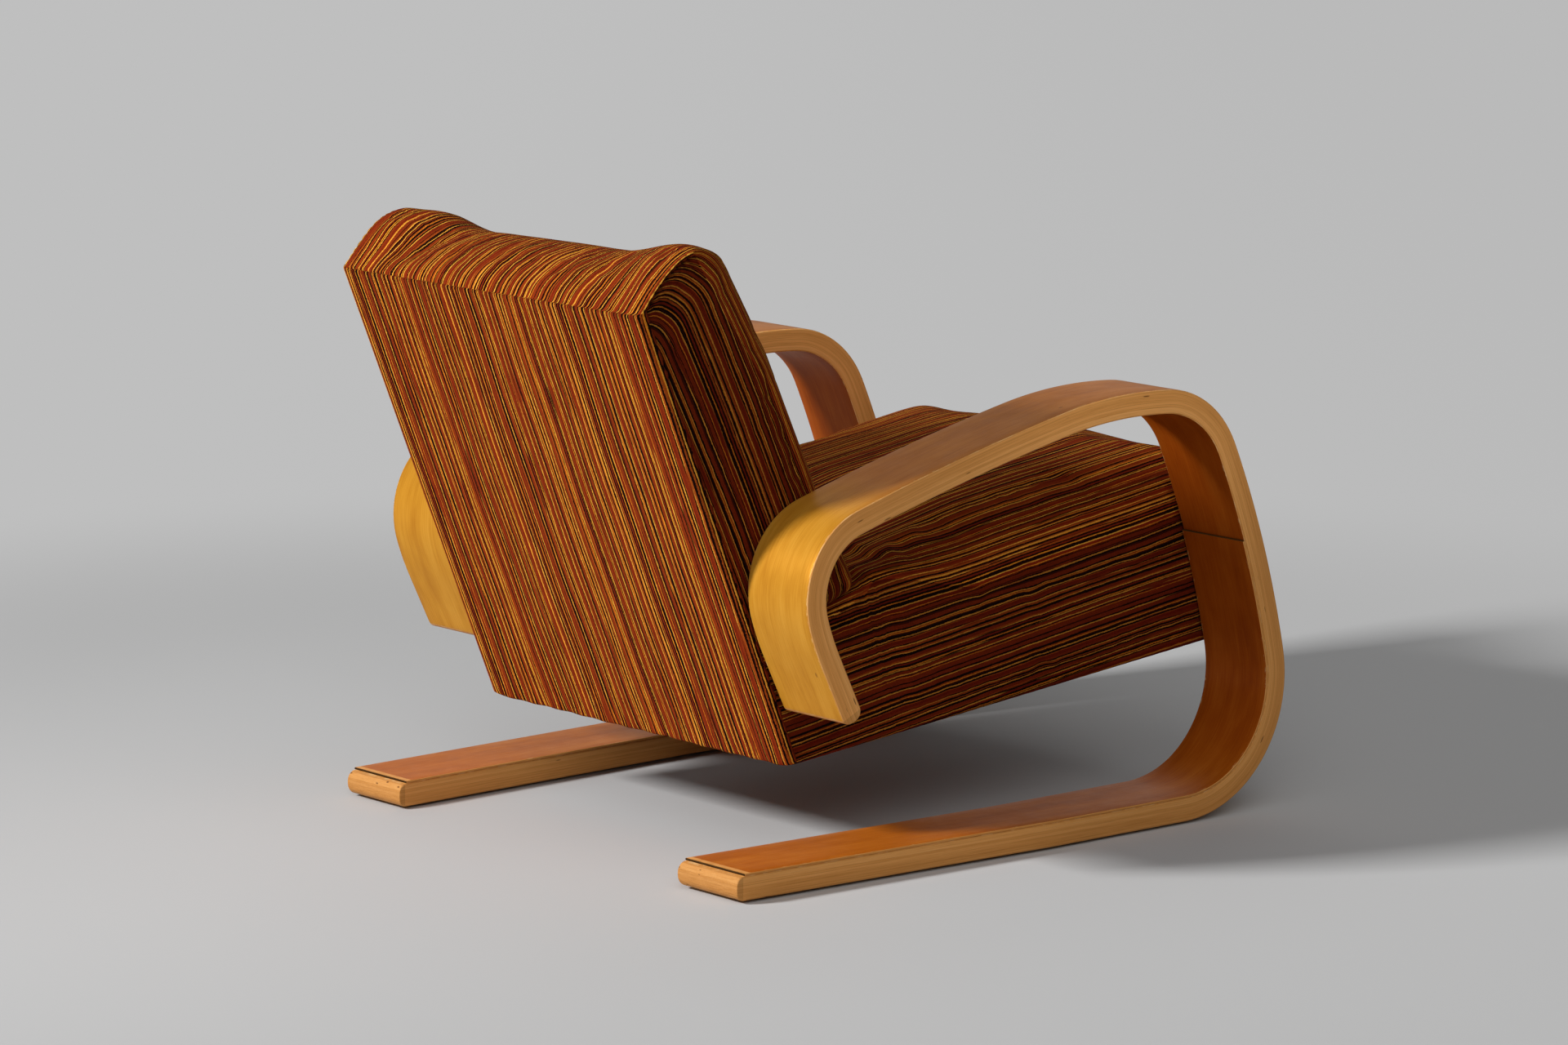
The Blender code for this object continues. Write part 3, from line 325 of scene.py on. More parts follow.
def birch_face(name):
    """Broad faces of the band: more golden outside, and redder inside; up the leg the inside is darker, painted
    shade.
    """
    build, place, along, across, through = lacquered(name, Coat_Roughness=0.16, Metallic=0.14)
    fine = build.noise(place, (14, 520, 1), 4.0, 0.62)
    broad = build.noise(place, (3.2, 26, 1), 3.0, 0.55)
    flame = build.noise(place, (26, 60, 1), 2.0, 0.5)
    depth = fine * 0.34 + broad * 0.48 + flame * 0.22

    def veneer(dark, middle, light):
        return build.ramp(depth, [(0.36, srgb(*dark)), (0.52, srgb(*middle)), (0.70, srgb(*light))])

    drop = veneer((172, 110, 26), (194, 134, 40), (211, 154, 58))
    arm = veneer((162, 88, 18), (186, 109, 30), (204, 127, 44))
    runner = veneer((162, 80, 13), (184, 98, 20), (202, 118, 34))
    # painted shade: the leg's inner face is a darker copy of the runner's colour
    leg = veneer((142, 60, 9), (162, 76, 14), (180, 94, 26))
    outer = build.mix(build.step(along, 0.90, 1.05) - build.step(along, 1.60, 1.74), drop, arm)
    inner = build.mix(build.step(along, 0.60, 0.80), runner, leg)
    colour = build.mix(build.step(through, -0.004, 0.004), outer, inner)
    fleck = flecks(build, place, (16, 34, 1), 0.07, 0.20)
    colour = build.mix(fleck * 0.6, colour, srgb(104, 56, 18))
    rim = build.step(build.math("ABSOLUTE", across), BAND_WIDTH / 2 - 0.0034, BAND_WIDTH / 2 - 0.0018)
    worn = build.step(build.noise(place, (70, 120, 200), 3.0, 0.7), 0.54, 0.70)
    colour = build.mix(rim * worn * 0.6, colour, srgb(224, 186, 124))
    scuff = build.noise(place, (40, 40, 1), 5.0, 0.7)
    return build.dress(colour, scuff * 0.22 + 0.28, fine, 0.0002, 0.35)


BIRCH_FACE = birch_face("birch_face")
BIRCH_EDGE = birch_edge("birch_edge")
BIRCH_END = birch_edge("birch_end_grain", 0.80)
# painted shadow: the ply's end faces are darkened nearly to black for the dark line where the ply ends
PLY_END_SHADE = birch_edge("ply_end_shade", 0.12)


def plain_material(name, colour, spots, scale, roughness, metallic=0.0):
    """Two near tones mottled by noise, for the small fittings."""
    build = Nodes(name, Metallic=metallic)
    grain = build.noise(build.object_place(), (scale, scale, scale), 4.0, 0.65)
    colour = build.ramp(grain, [(0.35, srgb(*colour)), (0.65, srgb(*spots))])
    return build.dress(colour, grain * 0.2 + (roughness - 0.1), grain, 0.0002, 0.6)


ZINC = plain_material("zinc_plate", (150, 150, 146), (178, 178, 172), 400, 0.38, 1.0)
STEEL = plain_material("spring_steel", (96, 96, 98), (126, 126, 126), 500, 0.4, 1.0)
FELT = plain_material("dark_felt", (34, 30, 27), (58, 52, 46), 1800, 0.95)
BEECH = plain_material("raw_beech", (190, 150, 104), (214, 178, 132), 120, 0.7)
FITTINGS = {"glide": FELT, "seat_spring": STEEL, "bolt": ZINC, "spacer": ZINC, "back_bracket": ZINC}
for name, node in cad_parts.items():
    fitting = next((material for start, material in FITTINGS.items() if name.startswith(start)), BEECH)
    node.data.materials.clear()
    node.data.materials.append(fitting)


# ---------------------------------------------------------------- mesh helpers
def add_attribute(mesh, name, kind, domain, values):
    layer = mesh.attributes.new(name, kind, domain)
    values = np.array(values, dtype=np.float32).ravel()
    layer.data.foreach_set("vector" if kind == "FLOAT_VECTOR" else "value", values)


def new_piece(name, points, faces, materials, matrix=None, corners=None, look=None, smooth=None):
    """A mesh piece. corners maps an attribute's name to one value for each face corner."""
    mesh = bpy.data.meshes.new(name)
    if matrix is not None:
        points = [matrix @ Vector(point) for point in points]
    mesh.from_pydata([tuple(point) for point in points], [], faces)
    for label, values in (corners or {}).items():
        add_attribute(mesh, label, "FLOAT_VECTOR", "CORNER", values)
    for material in materials:
        mesh.materials.append(material)
    if look is not None:
        mesh.polygons.foreach_set("material_index", look)
    mesh.update()
    turn_outwards(mesh)
    mesh.shade_smooth()
    if smooth is not None:
        mesh.set_sharp_from_angle(angle=radians(smooth))
    piece = bpy.data.objects.new(name, mesh)
    bpy.context.collection.objects.link(piece)
    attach(piece, "root")
    return piece


def turn_outwards(mesh, close=False):
    """Turn the faces outwards, with the open rim closed first where asked."""
    form = bmesh.new()
    form.from_mesh(mesh)
    if close:
        bmesh.ops.contextual_create(form, geom=[edge for edge in form.edges if edge.is_boundary])
    bmesh.ops.recalc_face_normals(form, faces=form.faces)
    form.to_mesh(mesh)
    form.free()


def grid_faces(rows, columns, first=0):
    """Faces between points that are counted row by row."""
    corners = [first + row * columns + column for row in range(rows - 1) for column in range(columns - 1)]
    return [(corner, corner + 1, corner + columns + 1, corner + columns) for corner in corners]


def grid_border(rows, columns):
    """Row and column of each outer point, once round."""
    border = [(0, column) for column in range(columns - 1)]
    border += [(row, columns - 1) for row in range(rows - 1)]
    border += [(rows - 1, column) for column in range(columns - 1, 0, -1)]
    return border + [(row, 0) for row in range(rows - 1, 0, -1)]


def sheet_faces(rows, columns):
    """Faces of a sheet with a wall: two grids of points, one after the other, joined at their borders."""
    count = rows * columns
    ring = [row * columns + column for row, column in grid_border(rows, columns)]
    walls = [(one, two, two + count, one + count) for one, two in zip(ring, ring[1:] + ring[:1])]
    return grid_faces(rows, columns) + grid_faces(rows, columns, count) + walls


def spread(low, high, count):
    return [low + (high - low) * step / count for step in range(count + 1)]


def ease(value, low, high):
    """0 below low, 1 above high, and a smooth rise between."""
    share = np.clip((value - low) / (high - low), 0, 1)
    return share * share * (3 - 2 * share)


# ---------------------------------------------------------------- bent arm loops
STATION_PITCH = 0.0075
END_STEPS = 8
CORNER_STEPS = 4
FACE_COLUMNS = 8
END_GRAIN_SHARE = 0.8
FACE_LOOK, EDGE_LOOK, END_LOOK = 0, 1, 2


def along_band(distance):
    """Forward reach, height and heading of the band's middle, at a distance from its foot end."""
    forward, height, heading, left = 0.0, BAND_FLOOR + BAND_THICKNESS / 2, 0.0, distance
    for length, turn in BENDS:
        run, turn = min(left, length), radians(turn)
        if turn:
            angle, radius = turn * run / length, length / turn
            forward += radius * (sin(heading + angle) - sin(heading))
            height += radius * (cos(heading) - cos(heading + angle))
            heading += angle
        else:
            forward += run * cos(heading)
            height += run * sin(heading)
        left -= run
        if left <= 0:
            break
    return forward, height, heading


def stations(low, high, rounding):
    """Places along the band, closer at its rounded ends."""
    ends = [rounding * (1 - cos(pi / 2 * step / END_STEPS)) for step in range(END_STEPS + 1)]
    count = round((high - low - 2 * rounding) / STATION_PITCH)
    middle = spread(low + rounding, high - rounding, count)[1:-1]
    return [low + place for place in ends] + middle + [high - place for place in ends[::-1]]


def section(width, thickness, arris):
    """Rounded rectangle of (across, through), counterclockwise from the inner face's right edge."""
    loop = []
    inner = width / 2 - arris
    for corner, (across, through) in enumerate(((1, 1), (-1, 1), (-1, -1), (1, -1))):
        for step in range(CORNER_STEPS + 1):
            angle = pi / 2 * (corner + step / CORNER_STEPS)
            loop.append((across * inner + arris * cos(angle),
                         through * (thickness / 2 - arris) + arris * sin(angle)))
        if corner in (0, 2):
            loop += [(place * across, through * thickness / 2) for place in spread(inner, -inner, FACE_COLUMNS)[1:-1]]
    return loop


def band_piece(name, side, low, high, width, thickness, arris, inward, rounding, end_material):
    """A band from low to high along the chain of bends, its middle moved inward, its ends rounded."""
    places = stations(low, high, rounding)
    points, coordinates = [], []
    for place in places:
        reach = min(place - low, high - place, rounding)
        inset = rounding - sqrt(max(0.0, rounding ** 2 - (rounding - reach) ** 2))
        forward, height, heading = along_band(place)
        toe = RUNNER_TOE_IN * max(0.0, 1 - forward / TOE_IN_REACH) if place < RUNNER_LENGTH else 0.0
        middle = side * (CHAIR_WIDTH / 2 - BAND_WIDTH / 2 - toe)
        left = thickness - 2 * inset
        for across, through in section(width, max(left, thickness * 0.2), arris if left > 4 * arris else arris * 0.8):
            offset = through + inward
            points.append((middle + across, Y_SHIFT - (forward - offset * sin(heading)),
                           height + offset * cos(heading)))
            coordinates.append((place + SIDE_SHIFT * side, across * side, offset))
    count = len(points) // len(places)
    faces, look = [], []
    for row in range(len(places) - 1):
        on_straight = rounding <= places[row] - low and places[row] <= high - rounding
        at_end = min(places[row] - low, high - places[row + 1]) < rounding * END_GRAIN_SHARE
        for index in range(count):
            following = (index + 1) % count
            faces.append((row * count + index, row * count + following,
                          (row + 1) * count + following, (row + 1) * count + index))
            on_face = max(abs(coordinates[corner][1]) for corner in faces[-1]) <= width / 2 - arris * 0.55
            look.append(END_LOOK if at_end else FACE_LOOK if on_face and on_straight else EDGE_LOOK)
    for row in (0, len(places) - 1):
        faces.append(tuple(range(row * count, (row + 1) * count)))
        look.append(END_LOOK)
    values = [coordinates[corner] for face in faces for corner in face]
    return new_piece(
        name, points, faces, [BIRCH_FACE, BIRCH_EDGE, end_material],
        corners={"band": values}, look=look, smooth=50,
    )


for word, side in (("right", -1), ("left", 1)):
    loop = band_piece("loop_" + word, side, 0.0, BAND_LENGTH, BAND_WIDTH, BAND_THICKNESS, BAND_ARRIS, 0.0,
                      BAND_END_ROUND, BIRCH_END)
    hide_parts("arm_loop_" + word)
    ply = band_piece("ply_" + word, side, PLY_FOOT, PLY_REACH, PLY_WIDTH, PLY_THICKNESS, PLY_ARRIS,
                     BAND_THICKNESS / 2 + PLY_THICKNESS / 2, PLY_END_ROUND, PLY_END_SHADE)
    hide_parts("arm_ply_" + word)


# ---------------------------------------------------------------- upholstery
CELL = 0.006
CORE_HALF = BODY_HALF - 0.030


def edge_lines(low, high, steps):
    """Grid lines from low to high, and steps more at each end that share the place but turn round the edge."""
    turns = [cos(pi / 2 * step / steps) for step in range(steps)]
    lines = [(place, 0.0) for place in spread(low, high, round((high - low) / CELL))]
    return [(low, -turn) for turn in turns] + lines + [(high, turn) for turn in turns[::-1]]


class Cushion:
    """A cushion over a rectangle: across is X, along runs from low to high, and rise is its depth.

    Its skin is a grid over the top and a ring of points that steps down the walls to rise 0.
    """

    steps = 8  # points round each edge
    level = 0.006  # height of one ring of the walls
    draw = 0.003  # how far the walls are drawn in at mid-height
    low_power = high_power = 5.0  # squareness of the corners at each end
    seam_shift = 0  # points by which the high end's seams stand round the corner
    climb = 0.0  # slope of the stripes beside the step

    def __init__(self, low, high, edges, top, place, **details):
        self.low, self.high = low, high
        self.side_edge, self.low_edge, self.high_edge = edges
        self.top, self.place = top, place
        self.step_along = low
        for name, value in details.items():
            setattr(self, name, value)

    def grid(self):
        """Rows of points (across, along, rise) over the top, closer round its edges."""
        lines = edge_lines(self.low + self.low_edge, self.high - self.high_edge, self.steps)
        across_lines = edge_lines(-CORE_HALF, CORE_HALF, self.steps)
        rows = []
        for along_core, along_share in lines:
            end_edge = self.low_edge if along_share < 0 else self.high_edge
            power = self.low_power if along_share < 0 else self.high_power
            side_edge = self.side_edge(along_core)
            row = []
            for across_place, across_share in across_lines:
                across_core = across_place / CORE_HALF * (BODY_HALF - side_edge)
                sideways, lengthways = abs(across_share), abs(along_share)
                largest, total = max(sideways, lengthways), sideways + lengthways
                norm = (sideways ** power + lengthways ** power) ** (1 / power)
                scale = largest / norm if norm else 1.0
                edge = (side_edge * sideways + end_edge * lengthways) / total if total else side_edge
                across = across_core + side_edge * across_share * scale
                along = along_core + end_edge * along_share * scale
                fall = edge * (1 - sqrt(max(0.0, 1 - largest ** 2)))
                row.append((across, along, self.top(across, along) - fall))
            rows.append(row)
        return rows

    def stripe_lines(self, middle_line):
        """Height at which each row's stripes start down the sides.

        The rows beside the step carry on the line of the first full row, so the stripes run straight.
        """
        lines = [rise - self.top(0.0, along) + self.top(BODY_HALF, along) for across, along, rise in middle_line]
        full = next(row for row, place in enumerate(middle_line) if place[1] > self.step_along)
        for row in range(full):
            lines[row] = lines[full] + (middle_line[row][1] - middle_line[full][1]) * self.climb
        return lines

    def build(self):
        """Points, faces, the cloth coordinate of each face corner and the seam place of each point.

        The cloth coordinate is (across the stripes, along them, panel). The seam place is the
        distance below the side's upper seam and the place along it.
        """
        grid = self.grid()
        rows, columns = len(grid), len(grid[0])
        middle = columns // 2
        points = [Vector(self.place(*place)) for row in grid for place in row]
        skin = np.array([tuple(point) for point in points]).reshape(rows, columns, 3)
        reach = np.zeros((rows, columns))
        reach[:, 1:] = np.cumsum(np.linalg.norm(np.diff(skin, axis=1), axis=2), axis=1)
        reach -= reach[:, middle:middle + 1].copy()
        length = np.zeros(rows)
        length[1:] = np.cumsum(np.linalg.norm(np.diff(skin[:, middle], axis=0), axis=1))
        line = self.stripe_lines([row[middle] for row in grid])
        flat = [
            [copysign(abs(across) + max(0.0, line[row] - rise), across) for across, along, rise in grid[row]]
            for row in range(rows)
        ]
        faces = grid_faces(rows, columns)
        corners = [
            (flat[index // columns][index % columns], length[index // columns], TOP)
            for face in faces for index in face
        ]

        border = grid_border(rows, columns)
        ring = [row * columns + column for row, column in border]
        arc = [0.0]
        for one, two in zip(ring, ring[1:]):
            arc.append(arc[-1] + (points[two] - points[one]).length)
        turns = [0, columns - 1, columns + rows - 2, 2 * columns + rows - 3]
        seams = [0, columns - 1, turns[2] - self.seam_shift, turns[3] + self.seam_shift]
        seam_place = []
        for row in range(rows):
            below = arc[seams[2]] - arc[min(turns[2], turns[1] + row)]
            seam_place += [(below, abs(here) - reach[row][-1], 0.0) for here in reach[row]]
        top_half = flat[-1][-1]

        def cloth(index, part, fall, height):
            row, column = border[index]
            if part == 0:
                return flat[row][column], length[row] - fall, LOW_END
            if part == 1:
                return BODY_HALF + line[row] - height, length[row], LEFT_SIDE
            if part == 3:
                return height - line[row] - BODY_HALF, length[row], RIGHT_SIDE
            across = flat[row][column]
            if index < turns[2]:
                across = top_half + arc[turns[2]] - arc[index]
            if index > turns[3]:
                across = arc[turns[3]] - arc[index] - top_half
            return across, length[-1] + fall, HIGH_END

        heights = [grid[row][column][2] for row, column in border]
        levels = round(max(heights) / self.level)
        fallen = [0.0] * len(ring)
        for level in range(levels):
            share = 1 - (level + 1) / levels
            fresh, fresh_fallen, fresh_heights = [], [], []
            for index, (row, column) in enumerate(border):
                across, along, rise = grid[row][column]
                height = rise * share
                pull = self.draw * 4 * share * (1 - share)
                if height < self.foot_round:
                    pull += self.foot_round - sqrt(self.foot_round ** 2 - (self.foot_round - height) ** 2)
                point = Vector(self.place(across - pull * across / BODY_HALF, along, height))
                fresh_fallen.append(fallen[index] + (point - points[ring[index]]).length)
                fresh_heights.append(height)
                if index <= (turns[2] + turns[3]) // 2:
                    below = arc[seams[2]] - arc[index]
                else:
                    below = arc[index] - arc[seams[3]]
                seam_place.append((below, fresh_fallen[index], 0.0))
                fresh.append(len(points))
                points.append(point)
            for index in range(len(ring)):
                following = (index + 1) % len(ring)
                faces.append((ring[index], ring[following], fresh[following], fresh[index]))
                part = sum(index >= seam for seam in seams) - 1
                corners += [cloth(end, part, fallen[end], heights[end]) for end in (index, following)]
                corners += [cloth(end, part, fresh_fallen[end], fresh_heights[end]) for end in (following, index)]
            ring, fallen, heights = fresh, fresh_fallen, fresh_heights
        return points, faces, corners, seam_place


# Seat and back forms, as in the CAD part
SEAT_DEPTH = 0.65403
SEAT_TOP_RISE = 0.187
SEAT_TOP_CLIMB = radians(3.3)
SEAT_CROWN = 0.021
SEAT_CROWN_RUN = 0.200
SEAT_NOSE_DROP = 0.008
SEAT_BRACKET_ROOM = 0.005
SEAT_STEP_RUN = 0.005
PAD_CLEARANCE = 0.0018
BACK_BOTTOM, BACK_TOP = 0.135, 0.546
BACK_THICKNESS, BACK_TOP_THICKNESS = 0.168, 0.1415
BACK_FULLNESS = 0.004
BACK_CROWN, BACK_CROWN_START = 0.016, 0.075
BACK_SADDLE_FLAT, BACK_SADDLE_RUN = 0.115, 0.115
BACK_TOP_CLIMB = radians(20.2)
BACK_SHOULDER_START, BACK_SHOULDER_RUN = 0.060, 0.046
BACK_PILLOW_CLIMB = radians(46)
BACK_PILLOW_REACH = 0.050
BACK_SEAT_GAP = 0.0006


def seat_rear(rise):
    return SEAT_BRACKET_ROOM / cos(LEAN) - rise * tan(LEAN)


def seat_front(rise):
    return SEAT_DEPTH + rise * tan(SEAT_SLOPE)


def seat_place(across, along, rise):
    share = along / SEAT_DEPTH
    return across, -(seat_rear(rise) * (1 - share) + seat_front(rise) * share), rise


def back_underside(along):
    share = along / SEAT_DEPTH
    start = seat_rear(0.0) * (1 - share) + seat_front(0.0) * share
    slant = tan(SEAT_SLOPE) * share - tan(LEAN) * (1 - share)
    meeting = (BACK_BOTTOM - BACK_SEAT_GAP) / cos(LEAN) + start * tan(LEAN)
    return meeting / (1 - slant * tan(LEAN))


BACK_FRONT_REACH = (BACK_THICKNESS + BACK_SEAT_GAP) * cos(LEAN) - BACK_BOTTOM * sin(LEAN)
STEP_RISE = BACK_BOTTOM * cos(LEAN) + BACK_THICKNESS * sin(LEAN)
STEP_REAR = seat_rear(STEP_RISE)
STEP_SHARE = (BACK_FRONT_REACH + PAD_CLEARANCE - STEP_REAR) / (seat_front(STEP_RISE) - STEP_REAR)
SEAT_STEP = SEAT_DEPTH * STEP_SHARE


def seat_top(across, along):
    forward = min(1.0, max(0.0, (along - SEAT_STEP) / (SEAT_DEPTH - SEAT_STEP)))
    swell = ease(along - SEAT_STEP, 0.0, SEAT_CROWN_RUN) * sqrt(1 - forward ** 16)
    crown = SEAT_CROWN * (1 - (across / BODY_HALF) ** 2) * swell
    nose = SEAT_NOSE_DROP * forward ** 4
    full = SEAT_TOP_RISE + (along - SEAT_STEP) * tan(SEAT_TOP_CLIMB) + crown - nose
    low = back_underside(along)
    return low + (full - low) * ease(along - SEAT_STEP, 0.0, SEAT_STEP_RUN)


def seat_side_edge(along):
    return 0.010 + 0.044 * ease(along, SEAT_STEP, 2 * SEAT_STEP)


def back_place(across, along, rise):
    """The sides of the top climb to a shoulder; its middle swells up sooner and ends lower."""
    share = (along - BACK_BOTTOM) / (BACK_TOP - BACK_BOTTOM)
    past = min(BACK_SHOULDER_RUN, max(0.0, rise - BACK_SHOULDER_START))
    climb = min(rise, BACK_SHOULDER_START) + past - past ** 2 / (2 * BACK_SHOULDER_RUN)
    side_lift = climb * tan(BACK_TOP_CLIMB)
    middle_lift = rise * tan(BACK_PILLOW_CLIMB) * exp(-rise / BACK_PILLOW_REACH)
    middle = 1 - ease(abs(across) - BACK_SADDLE_FLAT, 0.0, BACK_SADDLE_RUN)
    lift = side_lift + (middle_lift - side_lift) * middle
    return across, -rise, along + share * lift if share > 0 else along


def back_top(across, along):
    share = (along - BACK_BOTTOM) / (BACK_TOP - BACK_BOTTOM)
    depth = BACK_THICKNESS + (BACK_TOP_THICKNESS - BACK_THICKNESS) * share
    depth += BACK_FULLNESS * sin(pi * min(1.0, max(0.0, share)))
    start = BACK_CROWN_START / (BACK_TOP - BACK_BOTTOM)
    crown_share = min(1.0, max(0.0, (share - start) / (1 - start)))
    return depth + BACK_CROWN * (1 - (across / BODY_HALF) ** 2) * sin(pi * crown_share)


def back_side_edge(along):
    return 0.030 + 0.026 * ease(along - BACK_TOP, -0.190, -0.020)


seat_form = Cushion(
    0.0, SEAT_DEPTH, (seat_side_edge, 0.010, 0.040), seat_top, seat_place,
    low_power=2.2, high_power=3.0, foot_round=0.005, step_along=SEAT_STEP + SEAT_STEP_RUN,
    climb=tan(SEAT_TOP_CLIMB),
)
back_form = Cushion(
    BACK_BOTTOM, BACK_TOP, (back_side_edge, 0.018, 0.056), back_top, back_place,
    steps=14, level=0.0022, seam_shift=4, foot_round=0.003, draw=0.001, high_power=16.0,
)


# ---------------------------------------------------------------- filling the covers
def waves(points, seed, height, length):
    """A smooth random number for each point, about -height to height, with a typical wavelength."""
    draw = np.random.default_rng(seed)
    total = np.zeros(len(points))
    for wave in range(24):
        heading = draw.normal(size=3)
        heading *= 2 * pi / (length * draw.uniform(0.7, 1.6)) / np.linalg.norm(heading)
        total += np.sin(points @ heading + draw.uniform(0, 2 * pi))
    return height * (total / sqrt(12) / 1.6)


def bell(value, width):
    return np.exp(-(value / width) ** 2)


def read_points(mesh):
    values = np.empty(len(mesh.vertices) * 3)
    mesh.vertices.foreach_get("co", values)
    return values.reshape(-1, 3)


def write_points(mesh, points, swell):
    """Set the points, with none further out at the sides than the body's half width and the swell."""
    points[:, 0] = np.clip(points[:, 0], -BODY_HALF - swell, BODY_HALF + swell)
    mesh.vertices.foreach_set("co", np.ascontiguousarray(points, dtype=np.float64).ravel())
    mesh.update()


SIM_FRAMES = 20
FILL_SETTINGS = {
    "vertex_group_mass": "held", "quality": 5, "mass": 0.15, "tension_stiffness": 20, "compression_stiffness": 20,
    "bending_stiffness": 0.4, "shrink_min": -0.012, "use_pressure": True, "uniform_pressure_force": 3.0,
}
SIDE_SWELL = 0.0030


def fill_out(piece, held, cap):
    """Blow the cover up a little with the cloth simulation. held is 0 (free) to 1 (fixed)."""
    start = read_points(piece.data)
    pins = piece.vertex_groups.new(name="held")
    for level in sorted(set(np.round(held, 1))):
        chosen = np.nonzero(np.round(held, 1) == level)[0].tolist()
        pins.add(chosen, float(level), "REPLACE")
    cloth = piece.modifiers.new("fill", "CLOTH")
    for name, value in FILL_SETTINGS.items():
        setattr(cloth.settings, name, value)
    cloth.settings.effector_weights.gravity = 0
    cloth.point_cache.frame_start, cloth.point_cache.frame_end = 1, SIM_FRAMES
    for number in range(1, SIM_FRAMES + 1):
        scene.frame_set(number)
    graph = bpy.context.evaluated_depsgraph_get()
    moved = read_points(piece.evaluated_get(graph).data) - start
    piece.modifiers.remove(cloth)
    piece.vertex_groups.remove(pins)
    scene.frame_set(1)
    reach = np.linalg.norm(moved, axis=1)
    moved *= (np.minimum(reach, cap) / np.maximum(reach, 1e-9))[:, None]
    start += moved * (1 - held)[:, None]
    write_points(piece.data, start, SIDE_SWELL)


def subdivide(piece):
    modifier = piece.modifiers.new("smooth", "SUBSURF")
    modifier.levels = modifier.render_levels = 1
    modifier.boundary_smooth = "ALL"
    graph = bpy.context.evaluated_depsgraph_get()
    smooth = bpy.data.meshes.new_from_object(piece.evaluated_get(graph))
    piece.modifiers.remove(modifier)
    old = piece.data
    piece.data = smooth
    smooth.name = piece.name
    bpy.data.meshes.remove(old)


def cushion_piece(name, form, matrix, offset, covered, held, cap, finish):
    """A filled cover. offset is where it lies on its cloth, and cap the most that the filling moves a point."""
    points, faces, corners, seam_place = form.build()
    local = np.array([tuple(point) for point in points])
    corners = [(u + offset, v, w) for u, v, w in corners]
    piece = new_piece(name, points, faces, [CLOTH], matrix, {"cloth": corners})
    add_attribute(piece.data, "seam", "FLOAT_VECTOR", "POINT", seam_place)
    fill_out(piece, held(local, np.array(seam_place)), cap)
    subdivide(piece)
    finish(piece.data, np.array(matrix.translation), np.array(matrix.to_3x3()))
    turn_outwards(piece.data, close=True)
    piece.data.shade_smooth()
    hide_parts(*covered)


def seat_held(local, seam_place):
    """The seat's cover is tacked along the underside and flattened under the back."""
    across, forward, rise = local[:, 0], -local[:, 1], local[:, 2]
    under_back = 1 - ease(forward, 0.150, 0.175)
    foot = 1 - ease(rise, 0.004, 0.030)
    rear = 1 - ease(forward + rise * tan(LEAN), 0.012, 0.030)
    side_under_back = under_back * (1 - ease(np.abs(across), BODY_HALF - 0.004, BODY_HALF - 0.001))
    return np.maximum.reduce([foot, rear, side_under_back])


def back_held(local, seam_place):
    """The back's cover is fixed under it, along the rear and at the seams that end its top."""
    rise, along = -local[:, 1], local[:, 2]
    under = 1 - ease(along, BACK_BOTTOM + 0.004, BACK_BOTTOM + 0.040)
    rear = 1 - ease(rise, 0.014, 0.032)
    seam = bell(seam_place[:, 0], 0.012) * ease(along, BACK_TOP - 0.03, BACK_TOP - 0.01)
    return np.maximum.reduce([under, rear, seam])


def surface(mesh, origin, turn):
    """Points, their normals, and their places in the cushion's own frame."""
    points = read_points(mesh)
    normals = np.empty(points.size, dtype=np.float32)
    mesh.vertex_normals.foreach_get("vector", normals)
    local = (points - origin) @ turn
    return points, normals.reshape(-1, 3).astype(float), local[:, 0], -local[:, 1], local[:, 2]


TACK_PITCH, TACK_DEPTH = 0.021, 0.0006
TACK_RISE, TACK_REACH = 0.006, 0.006


def seat_finish(mesh, origin, turn):
    """Soft waves in the cover."""
    points, normals, across, forward, rise = surface(mesh, origin, turn)
    free = ease(rise, 0.004, 0.035) * ease(forward + rise * tan(LEAN), 0.014, 0.05)
    sides = ease(np.abs(normals[:, 0]), 0.5, 0.9)
    stretched = points * np.array([1.0, 0.55, 1.0])
    wave = waves(stretched, 3, height=0.0008, length=0.085) + waves(points, 4, height=0.0003, length=0.022)
    crown = waves(points, 5, height=0.0007, length=0.12)
    under_back = 1 - ease(forward, 0.155, 0.185)
    height = (wave * sides + crown * (1 - sides)) * free * (1 - under_back * (1 - sides))
    # the cover is drawn in a little where it is tacked under the rails
    tacks = np.sin(2 * pi * forward / TACK_PITCH + waves(points, 6, height=2, length=0.08))
    height -= TACK_DEPTH * bell(rise - TACK_RISE, TACK_REACH) * sides * (0.5 + 0.5 * tacks)
    write_points(mesh, points + normals * height[:, None], SIDE_SWELL + 0.0006)


PLEAT_PITCH = 0.0092
PLEAT_REACH = 0.013
PLEAT_HEIGHT = 0.0042
PLEAT_LEAN = 9  # pleats that a pleat leans along the seam for each metre below it
OVER_SEAM = 0.004  # how far a pleat reaches over the seam
GROOVE_WIDTH, GROOVE_DEPTH = 0.0018, 0.0016
BEAD_PLACE, BEAD_WIDTH, BEAD_HEIGHT = -0.0030, 0.0028, 0.0010  # the roll just above the seam
REAR_REACH = 0.005
REAR_EDGE_FALL = 0.0070
REAR_EDGE_RUN = 0.022
TOP_FALL, TOP_TILT = 0.0035, 0.009
TOP_HOLLOW, TOP_HOLLOW_PLACE, TOP_HOLLOW_WIDTH = 0.0040, 0.160, 0.040
SHOULDER_LIFT, SHOULDER_LENGTH = 0.0075, 0.105
CORNER_FALL = 0.007


def rear_shift(across, along):
    """How far the rear face stands behind its plane: more towards the top, and less at its sides."""
    over = np.clip((np.abs(across) - (BODY_HALF - REAR_EDGE_RUN)) / REAR_EDGE_RUN, 0, 1)
    return REAR_REACH * along / BACK_TOP - REAR_EDGE_FALL * (1 - np.sqrt(1 - 0.94 * over ** 2))


